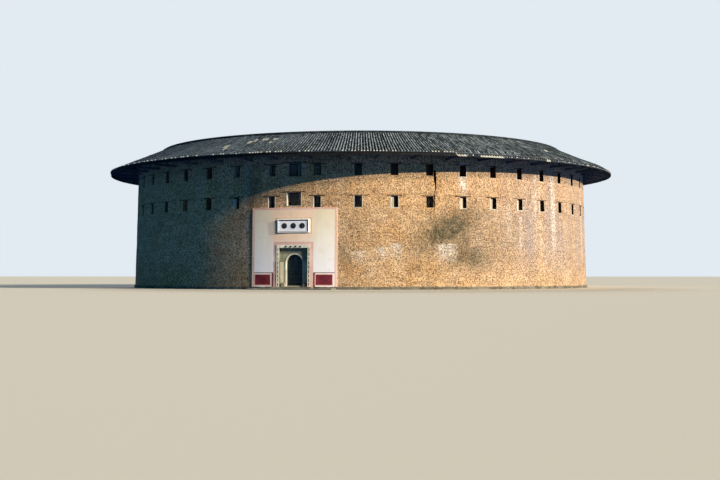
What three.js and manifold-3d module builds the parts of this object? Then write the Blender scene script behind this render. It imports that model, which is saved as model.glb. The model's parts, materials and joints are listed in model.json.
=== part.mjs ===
// A tulou roundhouse: a ring-shaped rammed-earth house of four storeys round an open courtyard, at 1:2.
// +Z is up, the gate faces -Y, and the origin is the centre of the ring at ground level.
// Sizes are real metres in the constants below, and the mesh units are model millimetres.
import * as THREE from "three";
import { mergeVertices } from "three/addons/utils/BufferGeometryUtils.js";
import Module from "manifold-3d";

const wasm = await Module();
wasm.setup();

const metre = 500; // model millimetres for one real metre, at 1:2
const gap = 0.0006; // 0.3 mm in the model, kept between pieces that touch

// Heights of the storeys, real metres above the ground
const groundFloorTop = 0.3;
const deckTops = [4.22, 7.6, 10.98];
const deckDepth = 0.25;
const girtDepth = 0.3;
const tieBottom = 13.6;
const tieDepth = 0.35;
const wallTop = 15.0;

// The earth wall, battered outside and set back by a ledge at each floor inside
const wallRadius = 28.6;
const wallBatter = 0.4 / wallTop;
const wallInnerRadius = 26.8;
const ledge = 0.15;
const footingReach = 0.12;
const gateWallJoints = [8.4, 10.73]; // heights where the wall beside the gate is parted, under its windows

// The ring roof
const ridgeRadius = 25.2;
const ridgeTop = 16.9;
const eaveRadius = 31.68;
const eaveTop = 14.2;
const courtyardEaveRadius = 19.0;
const roofDepth = 0.42;
const roofPitch = (ridgeTop - eaveTop) / (eaveRadius - ridgeRadius);

// Windows: sill, height and width
const windowWidth = 0.8;
const windowHeight = 1.22;
const windowSills = [8.64, 12.02];
const wideWindowWidth = 1.6;
const wideWindowHeight = 1.46;
const wideWindowSills = [8.84, 11.94];
const gateWindowAngle = 5.1;

// Bays: the gate bay is set out by itself, and the others are equal
const gateBayHalf = 10;
const gatePostAngle = 3.8;
const bayCount = 44;
const bayPitch = (360 - 2 * gateBayHalf) / bayCount;
const baysInWallPiece = 4;
const postsInGallery = 9;
const linesInRoofFrame = 10;

// Timber
const postFront = 20.14;
const postDepth = 0.32;
const postBack = postFront + postDepth;
const girtFront = postFront + 0.06;
const girtBack = postBack + 0.16;
const parapetThickness = 0.06;
const parapetHeight = 0.95;
const kerbRadius = 19.6;
const deckEdge = postBack + 0.03;
const tieWidth = 0.24;
const tieOverhang = 0.5;
const tieSeat = 0.1; // how far a tie beam lies on the wall's top ledge
const kingSeat = 0.1; // how deep a king post stands in its tie beam
const purlinWidth = 0.4;
const purlinDepth = 0.35;
const plateInner = 27.55;
const plateOuter = 27.95;
const capHalf = 0.32;
const capDepth = 0.2;

// The gate
const surroundHalf = 1.845;
const surroundTop = 4.73;
const surroundFront = 28.68;
const recessHalf = 1.575;
const recessTop = 4.39;
const recessBack = 28.1;
const archHalf = 0.9;
const archSpring = 2.81;
const archBack = 27.65;
const archBandWidth = 0.17;
const archBandReach = 0.05;
const sillTop = 0.4;
const rebateHalf = 1.13;
const rebateTop = 3.97;
const passageBack = 26.95;
const leafThickness = 0.1;
const leafClearance = 0.012;
const leafPivotX = 1.03;
const pivotPinRadius = 0.035;
const pivotSocketRadius = 0.0375;
const pivotSocketBottom = 0.34;
const pivotSocketTop = 4.07;
const panelHalfAngle = 9.4;
const panelTop = 8.62;
const panelThickness = 0.1;
const boardHalf = 1.78;
const boardBottom = 6.01;
const boardTop = 7.42;
const boardFrameWidth = 0.12;
const boardThickness = 0.12;
const boardFieldDepth = 0.05;
const platformHalf = 4.6;
const platformFront = 30.1;
const stepHalf = 2.2;
const stepFront = 29.45;

// Reach of the cutting solids, past everything else
const farInside = 10;
const farOutside = 45;
const farBelow = -1;
const farAbove = 20;

const earth = new THREE.MeshStandardMaterial({ color: 0xc9a06c, roughness: 0.95, metalness: 0 });
const rubble = new THREE.MeshStandardMaterial({ color: 0x8d8878, roughness: 0.9, metalness: 0 });
const timber = new THREE.MeshStandardMaterial({ color: 0x5b4230, roughness: 0.8, metalness: 0 });
const tile = new THREE.MeshStandardMaterial({ color: 0x3f4644, roughness: 0.85, metalness: 0 });
const granite = new THREE.MeshStandardMaterial({ color: 0xb9ae93, roughness: 0.8, metalness: 0 });
const plaster = new THREE.MeshStandardMaterial({ color: 0xe3d9c6, roughness: 0.9, metalness: 0 });
const gateWood = new THREE.MeshStandardMaterial({ color: 0x2a2320, roughness: 0.6, metalness: 0 });

const radians = THREE.MathUtils.degToRad;

// Angles in degrees from the gate, turning towards +X. A line of posts stands on each.
const postLines = [-gatePostAngle, gatePostAngle];
for (let bay = 0; bay <= bayCount; bay++) postLines.push(gateBayHalf + bay * bayPitch);
const roofLines = [postLines[0], 0, ...postLines.slice(1)];
const bayCentres = postLines.slice(2, -1).map((angle) => angle + bayPitch / 2);

const radiusAt = (height) => wallRadius - wallBatter * height;
const outerSoffit = (radius) => eaveTop - roofDepth + (eaveRadius - radius) * roofPitch;
const innerSoffit = (radius) => ridgeTop - roofDepth - (ridgeRadius - radius) * roofPitch;

// The point at a radius on a line, moved sideways along the tangent, in model millimetres
function planPoint(radius, angle, sideways = 0) {
  const a = radians(angle);
  return new THREE.Vector2(
    (radius * Math.sin(a) + sideways * Math.cos(a)) * metre,
    (-radius * Math.cos(a) + sideways * Math.sin(a)) * metre,
  );
}

// Conversions between three.js geometry and solids that can be joined and cut
function solidOf(geometry) {
  const bare = geometry.index ? geometry.toNonIndexed() : geometry.clone();
  bare.deleteAttribute("normal");
  bare.deleteAttribute("uv");
  const merged = mergeVertices(bare, 1e-3);
  return new wasm.Manifold(
    new wasm.Mesh({
      numProp: 3,
      vertProperties: merged.attributes.position.array,
      triVerts: new Uint32Array(merged.index.array),
    }),
  );
}

function geometryOf(solid) {
  const mesh = solid.getMesh();
  const geometry = new THREE.BufferGeometry();
  geometry.setAttribute("position", new THREE.BufferAttribute(mesh.vertProperties, 3));
  geometry.setIndex(new THREE.BufferAttribute(mesh.triVerts, 1));
  const faceted = geometry.toNonIndexed();
  faceted.computeVertexNormals();
  return faceted;
}

const joined = (solids) => solids.reduce((all, next) => all.add(next));

// A full ring: the section, as [radius, height] pairs turning anticlockwise, is turned round the
// courtyard and its meridians are moved onto the given lines.
function ringOf(section, lines = postLines) {
  const outline = [...section, section[0]].map(([r, z]) => new THREE.Vector2(r * metre, z * metre));
  const geometry = new THREE.LatheGeometry(outline, lines.length);
  const position = geometry.attributes.position;
  for (let i = 0; i < position.count; i++) {
    const line = Math.floor(i / outline.length) % lines.length;
    const point = outline[i % outline.length];
    const a = radians(lines[line]);
    position.setXYZ(i, point.x * Math.sin(a), -point.x * Math.cos(a), point.y);
  }
  return solidOf(geometry);
}

// A flat outline in plan, raised between two heights
function raised(points, bottom, top) {
  const geometry = new THREE.ExtrudeGeometry(new THREE.Shape(points), {
    depth: (top - bottom) * metre,
    bevelEnabled: false,
  });
  geometry.translate(0, 0, bottom * metre);
  return solidOf(geometry);
}

// A box on a line: radial span, half width across the line, and heights
function radialBox(angle, inner, outer, halfWidth, bottom, top) {
  const corners = [
    planPoint(inner, angle, -halfWidth),
    planPoint(outer, angle, -halfWidth),
    planPoint(outer, angle, halfWidth),
    planPoint(inner, angle, halfWidth),
  ];
  return raised(corners, bottom, top);
}

// The space between two lines, each moved sideways, over the whole height
function wedge(from, to, fromSideways = gap / 2, toSideways = -gap / 2) {
  const corners = [
    planPoint(farInside, from, fromSideways),
    planPoint(farOutside, from, fromSideways),
    planPoint(farOutside, (from + to) / 2),
    planPoint(farOutside, to, toSideways),
    planPoint(farInside, to, toSideways),
  ];
  return raised(corners, farBelow, farAbove);
}

// A slab that lies on the battered face of a wall facet: its flat outline [across, height] in real
// metres, how far its back stands off the wall line and its thickness
function facetSlab(angle, facetHalf, outline, standOff, thickness) {
  const faceAt = (height) => (radiusAt(height) + standOff) * Math.cos(radians(facetHalf));
  const shape = new THREE.Shape(outline.map(([x, z]) => new THREE.Vector2(x * metre, z * metre)));
  const geometry = new THREE.ExtrudeGeometry(shape, { depth: 1, bevelEnabled: false });
  const position = geometry.attributes.position;
  for (let i = 0; i < position.count; i++) {
    const across = position.getX(i) / metre;
    const height = position.getY(i) / metre;
    const point = planPoint(faceAt(height) + position.getZ(i) * thickness, angle, across);
    position.setXYZ(i, point.x, point.y, height * metre);
  }
  return solidOf(geometry);
}

const root = new THREE.Group();

function place(name, solid, material) {
  const mesh = new THREE.Mesh(geometryOf(solid), material);
  mesh.name = name;
  root.add(mesh);
}

const twoDigits = (number) => String(number).padStart(2, "0");

// The earth wall as a ring, and the windows that are cut through it
function wallRing() {
  const section = [[wallInnerRadius, groundFloorTop + gap]];
  section.push([radiusAt(groundFloorTop), groundFloorTop + gap], [radiusAt(wallTop), wallTop]);
  const ledgeHeights = [...deckTops.map((top) => top - deckDepth), tieBottom];
  for (let i = ledgeHeights.length; i >= 0; i--) {
    const radius = wallInnerRadius + i * ledge;
    const top = i === ledgeHeights.length ? wallTop : ledgeHeights[i];
    section.push([radius, top]);
    if (i > 0) section.push([radius, ledgeHeights[i - 1]]);
  }
  return ringOf(section);
}

function windowHole(angle, width, sill, height) {
  return radialBox(angle, farInside, farOutside, width / 2, sill, sill + height);
}

function addWalls() {
  const ring = wallRing();
  for (let first = 0, piece = 1; first < bayCount; first += baysInWallPiece, piece++) {
    const start = gateBayHalf + first * bayPitch;
    const bays = bayCentres.slice(first, first + baysInWallPiece);
    const holes = bays.flatMap((angle) =>
      windowSills.map((sill) => windowHole(angle, windowWidth, sill, windowHeight)),
    );
    const solid = ring.intersect(wedge(start, start + baysInWallPiece * bayPitch));
    place(`earth_wall_${twoDigits(piece)}`, solid.subtract(joined(holes)), earth);
  }

  const gateBay = ring.intersect(wedge(-gateBayHalf, gateBayHalf));
  const holes = wideWindowSills.map((sill) => windowHole(0, wideWindowWidth, sill, wideWindowHeight));
  for (const sill of windowSills) {
    holes.push(windowHole(gateWindowAngle, windowWidth, sill, windowHeight));
    holes.push(windowHole(-gateWindowAngle, windowWidth, sill, windowHeight));
  }
  const doorway = radialBox(0, farInside, farOutside, surroundHalf, farBelow, surroundTop);
  const cut = gateBay.subtract(joined([...holes, doorway]));
  const above = radialBox(0, farInside, farOutside, surroundHalf, surroundTop, farAbove);
  const sideHalf = gateBayHalf / 2;
  const toSide = (surroundHalf + gap + sideHalf) * metre;
  place("earth_wall_over_gate", cut.intersect(above), earth);
  const joints = [farBelow, ...gateWallJoints, farAbove];
  ["", "_third", "_fourth"].forEach((storey, i) => {
    const side = radialBox(0, farInside, farOutside, sideHalf, joints[i] + gap, joints[i + 1]);
    place(`earth_wall_gate_left${storey}`, cut.intersect(side.translate(-toSide, 0, 0)), earth);
    place(`earth_wall_gate_right${storey}`, cut.intersect(side.translate(toSide, 0, 0)), earth);
  });
}

function rectangle(inner, outer, bottom, top) {
  return [
    [inner, bottom],
    [outer, bottom],
    [outer, top],
    [inner, top],
  ];
}

function addFloors() {
  const footingInner = wallInnerRadius - 0.1;
  const footing = rectangle(footingInner, wallRadius + footingReach, 0, groundFloorTop);
  place("stone_footing", ringOf(footing), rubble);
  const ground = rectangle(kerbRadius, footingInner - gap, 0, groundFloorTop);
  place("ground_floor", ringOf(ground), rubble);
  const names = ["second", "third", "fourth"];
  deckTops.forEach((top, i) => {
    const wallSide = wallInnerRadius + (i + 1) * ledge - gap;
    const deck = rectangle(deckEdge, wallSide, top - deckDepth + gap, top);
    place(`${names[i]}_floor`, ringOf(deck), timber);
    const parapet = rectangle(deckEdge, deckEdge + parapetThickness, top + gap, top + parapetHeight);
    place(`${names[i]}_floor_parapet`, ringOf(parapet), timber);
  });
}

// The beams between two neighbouring posts, set back from the posts' faces
function girts(from, to) {
  const corners = [
    planPoint(girtFront, from),
    planPoint(girtBack, from),
    planPoint(girtBack, to),
    planPoint(girtFront, to),
  ];
  const levels = [...deckTops.map((top) => top - deckDepth), tieBottom];
  return levels.map((top) => raised(corners, top - girtDepth, top));
}

// Posts and beams towards the courtyard
function addGalleries() {
  const lines = [...postLines, 360 + postLines[0]];
  const side = postDepth / 2;
  const galleries = [["gallery_gate", 0, 2]];
  for (let first = 2, i = 1; first < postLines.length; first += postsInGallery, i++) {
    galleries.push([`gallery_${twoDigits(i)}`, first, first + postsInGallery]);
  }
  for (const [name, first, next] of galleries) {
    const pieces = [];
    for (let i = first; i < next; i++) {
      pieces.push(radialBox(lines[i], postFront, postBack, side, groundFloorTop + gap, tieBottom));
      pieces.push(...girts(lines[i], lines[i + 1]));
    }
    const space = wedge(lines[first], lines[next], -side, -side - gap);
    place(name, joined(pieces).intersect(space), timber);
  }
}

// A tie beam from the gallery to the wall head, and the king post under the ridge
function truss(angle) {
  const half = tieWidth / 2;
  const tieStart = postFront - tieOverhang;
  const tieEnd = wallInnerRadius + deckTops.length * ledge + tieSeat;
  const tieTop = tieBottom + tieDepth;
  const kingTop = innerSoffit(ridgeRadius) - purlinDepth / 2;
  return [
    radialBox(angle, tieStart, tieEnd, half, tieBottom + gap, tieTop),
    radialBox(angle, ridgeRadius - half, ridgeRadius + half, half, tieTop - kingSeat, kingTop),
  ];
}

// The ridge purlin is carried by a truss on each line, and both are joined
function addRoofFrames() {
  const lines = [...roofLines, 360 + roofLines[0]];
  const purlinInner = ridgeRadius - purlinWidth / 2;
  const purlinOuter = ridgeRadius + purlinWidth / 2;
  const purlinTop = outerSoffit(purlinOuter) - gap;
  const purlinSection = rectangle(purlinInner, purlinOuter, purlinTop - purlinDepth, purlinTop);
  const purlin = ringOf(purlinSection, roofLines);
  const side = tieWidth / 2;
  for (let first = 0, i = 1; first < roofLines.length; first += linesInRoofFrame, i++) {
    const next = Math.min(first + linesInRoofFrame, roofLines.length);
    const space = wedge(lines[first], lines[next], -side, -side - gap);
    const trusses = lines.slice(first, next).filter((angle) => angle !== 0).flatMap(truss);
    place(`roof_frame_${twoDigits(i)}`, joined([purlin, ...trusses]).intersect(space), timber);
  }
}

function addRoof() {
  const wallPlate = [
    [plateInner, wallTop + gap],
    [plateOuter, wallTop + gap],
    [plateOuter, outerSoffit(plateOuter) - gap],
    [plateInner, outerSoffit(plateInner) - gap],
  ];
  place("wall_plate", ringOf(wallPlate, roofLines), timber);

  const tieTop = tieBottom + tieDepth;
  const eavePurlin = [
    [postFront, tieTop + gap],
    [postBack, tieTop + gap],
    [postBack, innerSoffit(postBack) - gap],
    [postFront, innerSoffit(postFront) - gap],
  ];
  place("courtyard_eave_purlin", ringOf(eavePurlin, roofLines), timber);

  const outerSlope = [
    [ridgeRadius, ridgeTop - roofDepth],
    [eaveRadius, eaveTop - roofDepth],
    [eaveRadius, eaveTop],
    [ridgeRadius, ridgeTop],
  ];
  place("roof_outer_slope", ringOf(outerSlope, roofLines), tile);

  const courtyardEaveTop = ridgeTop - (ridgeRadius - courtyardEaveRadius) * roofPitch;
  const courtyardSlope = [
    [courtyardEaveRadius, courtyardEaveTop - roofDepth],
    [ridgeRadius - gap, ridgeTop - roofDepth],
    [ridgeRadius - gap, ridgeTop],
    [courtyardEaveRadius, courtyardEaveTop],
  ];
  place("roof_courtyard_slope", ringOf(courtyardSlope, roofLines), tile);

  const capTop = ridgeTop + capDepth;
  const capFoot = ridgeTop - capHalf * roofPitch + gap;
  const cap = [
    [ridgeRadius - capHalf, capFoot],
    [ridgeRadius, ridgeTop + gap],
    [ridgeRadius + capHalf, capFoot],
    [ridgeRadius + capHalf / 2, capTop],
    [ridgeRadius - capHalf / 2, capTop],
  ];
  place("ridge_cap", ringOf(cap, roofLines), tile);
}

// A flat outline seen from the front, [x, z] in real metres, given depth from y = -front to y = -back
function upright(points, front, back) {
  const shape = new THREE.Shape(points.map(([x, z]) => new THREE.Vector2(x * metre, z * metre)));
  const depth = (front - back) * metre;
  const geometry = new THREE.ExtrudeGeometry(shape, { depth, bevelEnabled: false });
  geometry.rotateX(Math.PI / 2);
  geometry.translate(0, -back * metre, 0);
  return solidOf(geometry);
}

// The arched opening, grown outwards by a margin, from y = -front to y = -back
function archSolid(front, back, bottom, margin = 0) {
  const half = (archHalf + margin) * metre;
  const shape = new THREE.Shape();
  shape.moveTo(half, bottom * metre);
  shape.lineTo(half, archSpring * metre);
  shape.absarc(0, archSpring * metre, half, 0, Math.PI, false);
  shape.lineTo(-half, bottom * metre);
  shape.closePath();
  const depth = (front - back) * metre;
  const geometry = new THREE.ExtrudeGeometry(shape, { depth, bevelEnabled: false, curveSegments: 12 });
  geometry.rotateX(Math.PI / 2);
  geometry.translate(0, -back * metre, 0);
  return solidOf(geometry);
}

function pivotCylinder(radius, x, bottom, top) {
  const geometry = new THREE.CylinderGeometry(radius * metre, radius * metre, (top - bottom) * metre, 12);
  geometry.rotateX(Math.PI / 2);
  const y = -(archBack - leafClearance - leafThickness / 2);
  geometry.translate(x * metre, y * metre, ((bottom + top) / 2) * metre);
  return solidOf(geometry);
}

// The stone arch between the jambs, with a rebate behind it where the leaves hang
function addGateArch() {
  const half = surroundHalf - gap;
  const bottom = groundFloorTop + gap;
  const block = rectangle(-half, half, bottom, surroundTop - gap);
  const rebate = rectangle(-rebateHalf, rebateHalf, sillTop, rebateTop);
  const band = archSolid(recessBack + archBandReach, archBack, bottom, archBandWidth);
  let arch = upright(block, recessBack - gap, passageBack).add(band);
  arch = arch.subtract(archSolid(farOutside, passageBack, sillTop));
  arch = arch.subtract(upright(rebate, archBack, farInside));
  for (const x of [-leafPivotX, leafPivotX]) {
    arch = arch.subtract(pivotCylinder(pivotSocketRadius, x, pivotSocketBottom, pivotSocketTop));
  }
  place("gate_arch", arch, granite);
}

function addGateSurround() {
  const outline = [
    [-surroundHalf + gap, groundFloorTop + gap],
    [-recessHalf, groundFloorTop + gap],
    [-recessHalf, recessTop],
    [recessHalf, recessTop],
    [recessHalf, groundFloorTop + gap],
    [surroundHalf - gap, groundFloorTop + gap],
    [surroundHalf - gap, surroundTop - gap],
    [-surroundHalf + gap, surroundTop - gap],
  ];
  place("gate_surround", upright(outline, surroundFront, recessBack), granite);
}

// A leaf of planks on a rounded heel, with a pin at each end that turns in the stone
function addGateLeaves() {
  const bottom = sillTop + leafClearance;
  const top = rebateTop - leafClearance - 0.003;
  const y = -(archBack - leafClearance - leafThickness / 2) * metre;
  const half = (leafThickness / 2) * metre;
  for (const [name, side] of [
    ["gate_leaf_left", -1],
    ["gate_leaf_right", 1],
  ]) {
    const pivot = leafPivotX * metre;
    const meeting = (leafClearance / 2) * metre;
    const shape = new THREE.Shape();
    shape.moveTo(meeting, y - half);
    shape.lineTo(pivot, y - half);
    shape.absarc(pivot, y, half, -Math.PI / 2, Math.PI / 2, false);
    shape.lineTo(meeting, y + half);
    shape.closePath();
    const points = shape.getPoints(8);
    const outline = side > 0 ? points : points.map((p) => new THREE.Vector2(-p.x, p.y)).reverse();
    const plank = raised(outline, bottom, top);
    const pinBottom = pivotSocketBottom + gap;
    const pinTop = pivotSocketTop - 0.01;
    const pin = pivotCylinder(pivotPinRadius, side * leafPivotX, pinBottom, pinTop);
    place(name, plank.add(pin), gateWood);
  }
}

function addGateFront() {
  // Plaster over the earth wall, from the footing to the sills of the third storey
  const skin = [
    [radiusAt(groundFloorTop) + gap, groundFloorTop + gap],
    [radiusAt(groundFloorTop) + panelThickness, groundFloorTop + gap],
    [radiusAt(panelTop) + panelThickness, panelTop],
    [radiusAt(panelTop) + gap, panelTop],
  ];
  const doorway = radialBox(0, farInside, farOutside, surroundHalf + gap, farBelow, surroundTop + gap);
  const panel = ringOf(skin).intersect(wedge(-panelHalfAngle, panelHalfAngle)).subtract(doorway);
  place("plaster_panel", panel, plaster);

  // The name board's frame stands proud of its field
  const boardOutline = rectangle(-boardHalf, boardHalf, boardBottom, boardTop);
  const fieldOutline = rectangle(
    -boardHalf + boardFrameWidth,
    boardHalf - boardFrameWidth,
    boardBottom + boardFrameWidth,
    boardTop - boardFrameWidth,
  );
  const standOff = panelThickness + gap;
  const fieldStandOff = standOff + boardThickness - boardFieldDepth;
  const frame = facetSlab(0, gatePostAngle, boardOutline, standOff, boardThickness);
  const field = facetSlab(0, gatePostAngle, fieldOutline, fieldStandOff, boardThickness);
  place("name_board", frame.subtract(field), plaster);
}

function addGateSteps() {
  const footingFace = wallRadius + footingReach + gap;
  const footingDisc = ringOf(rectangle(farInside, footingFace, farBelow, wallTop));
  const back = wallInnerRadius;
  const platformTop = groundFloorTop / 2;
  const platform = upright(rectangle(-platformHalf, platformHalf, 0, platformTop), platformFront, back);
  const step = upright(rectangle(-stepHalf, stepHalf, 0, groundFloorTop), stepFront, back);
  place("gate_steps", platform.add(step).subtract(footingDisc), granite);
}

addWalls();
addFloors();
addGalleries();
addRoofFrames();
addRoof();
addGateArch();
addGateSurround();
addGateLeaves();
addGateFront();
addGateSteps();

export default root;
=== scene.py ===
import json
import math

import bpy
import numpy as np
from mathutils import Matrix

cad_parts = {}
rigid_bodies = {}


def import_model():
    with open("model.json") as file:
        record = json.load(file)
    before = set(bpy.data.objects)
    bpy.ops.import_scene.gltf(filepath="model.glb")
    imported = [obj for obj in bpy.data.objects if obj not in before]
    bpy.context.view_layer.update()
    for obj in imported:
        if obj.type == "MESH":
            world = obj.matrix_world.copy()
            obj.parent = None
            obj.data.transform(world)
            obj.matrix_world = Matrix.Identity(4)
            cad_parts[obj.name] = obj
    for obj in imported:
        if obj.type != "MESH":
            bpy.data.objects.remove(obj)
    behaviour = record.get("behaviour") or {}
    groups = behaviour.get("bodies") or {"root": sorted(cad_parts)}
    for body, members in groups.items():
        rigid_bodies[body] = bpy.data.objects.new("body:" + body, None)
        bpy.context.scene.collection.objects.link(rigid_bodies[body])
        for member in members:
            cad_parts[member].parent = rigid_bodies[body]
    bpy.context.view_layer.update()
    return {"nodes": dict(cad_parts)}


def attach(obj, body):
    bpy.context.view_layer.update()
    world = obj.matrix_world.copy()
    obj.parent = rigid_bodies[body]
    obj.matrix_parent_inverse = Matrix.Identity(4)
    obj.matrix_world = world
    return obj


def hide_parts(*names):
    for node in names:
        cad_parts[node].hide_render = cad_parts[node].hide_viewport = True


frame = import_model()
print("frame loaded:", len(frame["nodes"]), "nodes")

metre = 0.5  # model metres for one real metre

# Sizes that more than one piece needs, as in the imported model
house = {
    "groundTop": 0.3,
    "deckTops": [4.22, 7.6, 10.98],
    "deckDepth": 0.25,
    "tieBottom": 13.6,
    "tieDepth": 0.35,
    "wallRadius": 28.6,
    "wallInner": 26.8,
    "wallTop": 15.0,
    "batter": 0.4 / 15.0,
    "ledge": 0.15,
    "ridgeRadius": 25.2,
    "ridgeTop": 16.9,
    "eaveRadius": 31.68,
    "eaveTop": 14.2,
    "yardEaveRadius": 19.0,
    "postFront": 20.14,
    "postBack": 20.46,
    "gateBayHalf": 10.0,
    "gatePost": 3.8,
    "bays": 44,
}
pitch = (house["ridgeTop"] - house["eaveTop"]) / (house["eaveRadius"] - house["ridgeRadius"])
bayWidth = (360 - 2 * house["gateBayHalf"]) / house["bays"]
bayEdges = house["gateBayHalf"] + bayWidth * np.arange(house["bays"] + 1)
bayCentres = bayEdges[:-1] + bayWidth / 2
postLines = np.concatenate([[-house["gatePost"], house["gatePost"]], bayEdges])

windows = {
    "width": 0.8,
    "height": 1.22,
    "sills": [8.64, 12.02],
    "gateAngle": 5.1,
    "wideWidth": 1.6,
    "wideHeight": 1.46,
    "wideSills": [8.84, 11.94],
}


def wallRadiusAt(height):
    return house["wallRadius"] - house["batter"] * height


def roofTopAt(radius):
    away = np.abs(np.asarray(radius) - house["ridgeRadius"])
    return house["ridgeTop"] - away * pitch


# A place on the ring: radius, angle, height and a step sideways
def ringPoint(radius, angle, height, sideways=0.0):
    turn = np.radians(angle)
    x = radius * np.sin(turn) + sideways * np.cos(turn)
    y = -radius * np.cos(turn) + sideways * np.sin(turn)
    return np.stack(np.broadcast_arrays(x, y, height), axis=-1).astype(float)


# Smooth noise from -1 to 1 that closes round the ring, in cells of a width and a height
def ringNoise(angle, height, across, tall, seed):
    cells = round(2 * math.pi * house["wallRadius"] / across)
    table = np.random.default_rng(seed).uniform(-1, 1, (cells, 97))
    u = np.asarray(angle) / 360 * cells
    v = np.asarray(height) / tall
    u, v = np.broadcast_arrays(u, v)
    i = np.floor(u).astype(int)
    j = np.floor(v).astype(int)
    s = (u - i) ** 2 * (3 - 2 * (u - i))
    t = (v - j) ** 2 * (3 - 2 * (v - j))
    low = table[i % cells, j % 97] * (1 - s) + table[(i + 1) % cells, j % 97] * s
    high = table[i % cells, (j + 1) % 97] * (1 - s) + table[(i + 1) % cells, (j + 1) % 97] * s
    return low * (1 - t) + high * t


# Faces of a grid of corners [row, column]; ring closes the columns and tube the rows
def gridFaces(rows, columns, ring=False, tube=False, flip=False):
    across = np.arange(columns if ring else columns - 1)
    down = np.arange(rows if tube else rows - 1)[:, None]
    beside = (across + 1) % columns
    above = (down + 1) % rows
    faces = np.stack(
        np.broadcast_arrays(
            down * columns + across,
            down * columns + beside,
            above * columns + beside,
            above * columns + across,
        ),
        axis=-1,
    )
    return faces[..., ::-1] if flip else faces


# Corners and faces of one joined mesh, gathered in real metres
class Heap:
    def __init__(self):
        self.corners = []
        self.grains = []
        self.loops = []
        self.counts = []
        self.tints = []
        self.finishes = []
        self.marks = {}
        self.size = 0

    def add(self, corners, faces, tint=0.5, finish=0, grain=None, **marks):
        corners = np.asarray(corners, float).reshape(-1, 3)
        first = self.size
        self.corners.append(corners)
        self.grains.append(corners if grain is None else np.asarray(grain, float).reshape(-1, 3))
        for name, values in marks.items():
            self.marks.setdefault(name, []).append((first, np.ravel(values)))
        self.size += len(corners)
        self.face(first, faces, tint, finish)
        return first

    def face(self, first, faces, tint=0.5, finish=0):
        faces = np.asarray(faces)
        faces = faces.reshape(-1, faces.shape[-1])
        self.loops.append((faces + first).ravel())
        self.counts.append(np.full(len(faces), faces.shape[1]))
        self.tints.append(np.broadcast_to(np.asarray(tint, float).ravel(), len(faces)))
        self.finishes.append(np.broadcast_to(np.asarray(finish, int).ravel(), len(faces)))


def makePiece(name, heap, finishes, replaced=(), body="building", crease=35, bevel=0.0):
    corners = np.concatenate(heap.corners) * metre
    loops = np.concatenate(heap.loops)
    counts = np.concatenate(heap.counts)
    mesh = bpy.data.meshes.new(name)
    for finish in finishes:
        mesh.materials.append(finish)
    mesh.vertices.add(len(corners))
    mesh.vertices.foreach_set("co", corners.ravel())
    mesh.loops.add(len(loops))
    mesh.loops.foreach_set("vertex_index", loops)
    mesh.polygons.add(len(counts))
    mesh.polygons.foreach_set("loop_start", np.cumsum(counts) - counts)
    mesh.polygons.foreach_set("material_index", np.concatenate(heap.finishes))
    mesh.update(calc_edges=True)
    tint = mesh.attributes.new("tint", "FLOAT", "FACE")
    tint.data.foreach_set("value", np.concatenate(heap.tints))
    grain = mesh.attributes.new("grain", "FLOAT_VECTOR", "POINT")
    grain.data.foreach_set("vector", np.concatenate(heap.grains).ravel())
    for mark, parts in heap.marks.items():
        values = np.zeros(len(corners))
        for first, part in parts:
            values[first:first + len(part)] = part
        mesh.attributes.new(mark, "FLOAT", "POINT").data.foreach_set("value", values)
    mesh.validate()
    mesh.shade_smooth()
    mesh.set_sharp_from_angle(angle=math.radians(crease))
    piece = bpy.data.objects.new(name, mesh)
    bpy.context.scene.collection.objects.link(piece)
    if bevel:
        edge = piece.modifiers.new("wornEdges", "BEVEL")
        edge.width = bevel * metre
        edge.segments = 2
        edge.limit_method = "ANGLE"
        edge.angle_limit = math.radians(crease)
    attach(piece, body)
    if replaced:
        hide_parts(*replaced)
    return piece


boxFaces = [[0, 1, 2, 3], [4, 7, 6, 5], [0, 4, 5, 1], [1, 5, 6, 2], [2, 6, 7, 3], [3, 7, 4, 0]]


# Square timbers or blocks from starts to ends; width lies across them and depth along up
def timbers(heap, starts, ends, width, depth, up=(0, 0, 1), finish=0, seed=1, rough=0.0, tint=None):
    starts, ends, up = np.broadcast_arrays(np.atleast_2d(starts), np.atleast_2d(ends), np.atleast_2d(up))
    count = len(starts)
    dice = np.random.default_rng(seed)
    length = np.linalg.norm(ends - starts, axis=1, keepdims=True)
    along = (ends - starts) / length
    across = np.cross(along, up)
    across /= np.linalg.norm(across, axis=1, keepdims=True)
    rise = np.cross(across, along)
    halfWidth = np.broadcast_to(np.reshape(width, (-1, 1)) / 2, (count, 1))
    halfDepth = np.broadcast_to(np.reshape(depth, (-1, 1)) / 2, (count, 1))
    start = dice.uniform(0, 60, (count, 3))
    corners, grains = [], []
    for end, reach in ((starts, np.zeros_like(length)), (ends, length)):
        for i, j in ((-1, -1), (1, -1), (1, 1), (-1, 1)):
            corners.append(end + across * i * halfWidth + rise * j * halfDepth)
            grains.append(start + np.hstack([reach, i * halfWidth, j * halfDepth]))
    corners = np.stack(corners, axis=1)
    corners += dice.uniform(-rough, rough, corners.shape)
    faces = np.arange(count)[:, None, None] * 8 + np.array(boxFaces)
    tints = dice.uniform(0, 1, count) if tint is None else np.broadcast_to(tint, count)
    heap.add(corners, faces, np.repeat(tints, 6), finish, np.stack(grains, axis=1))


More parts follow.
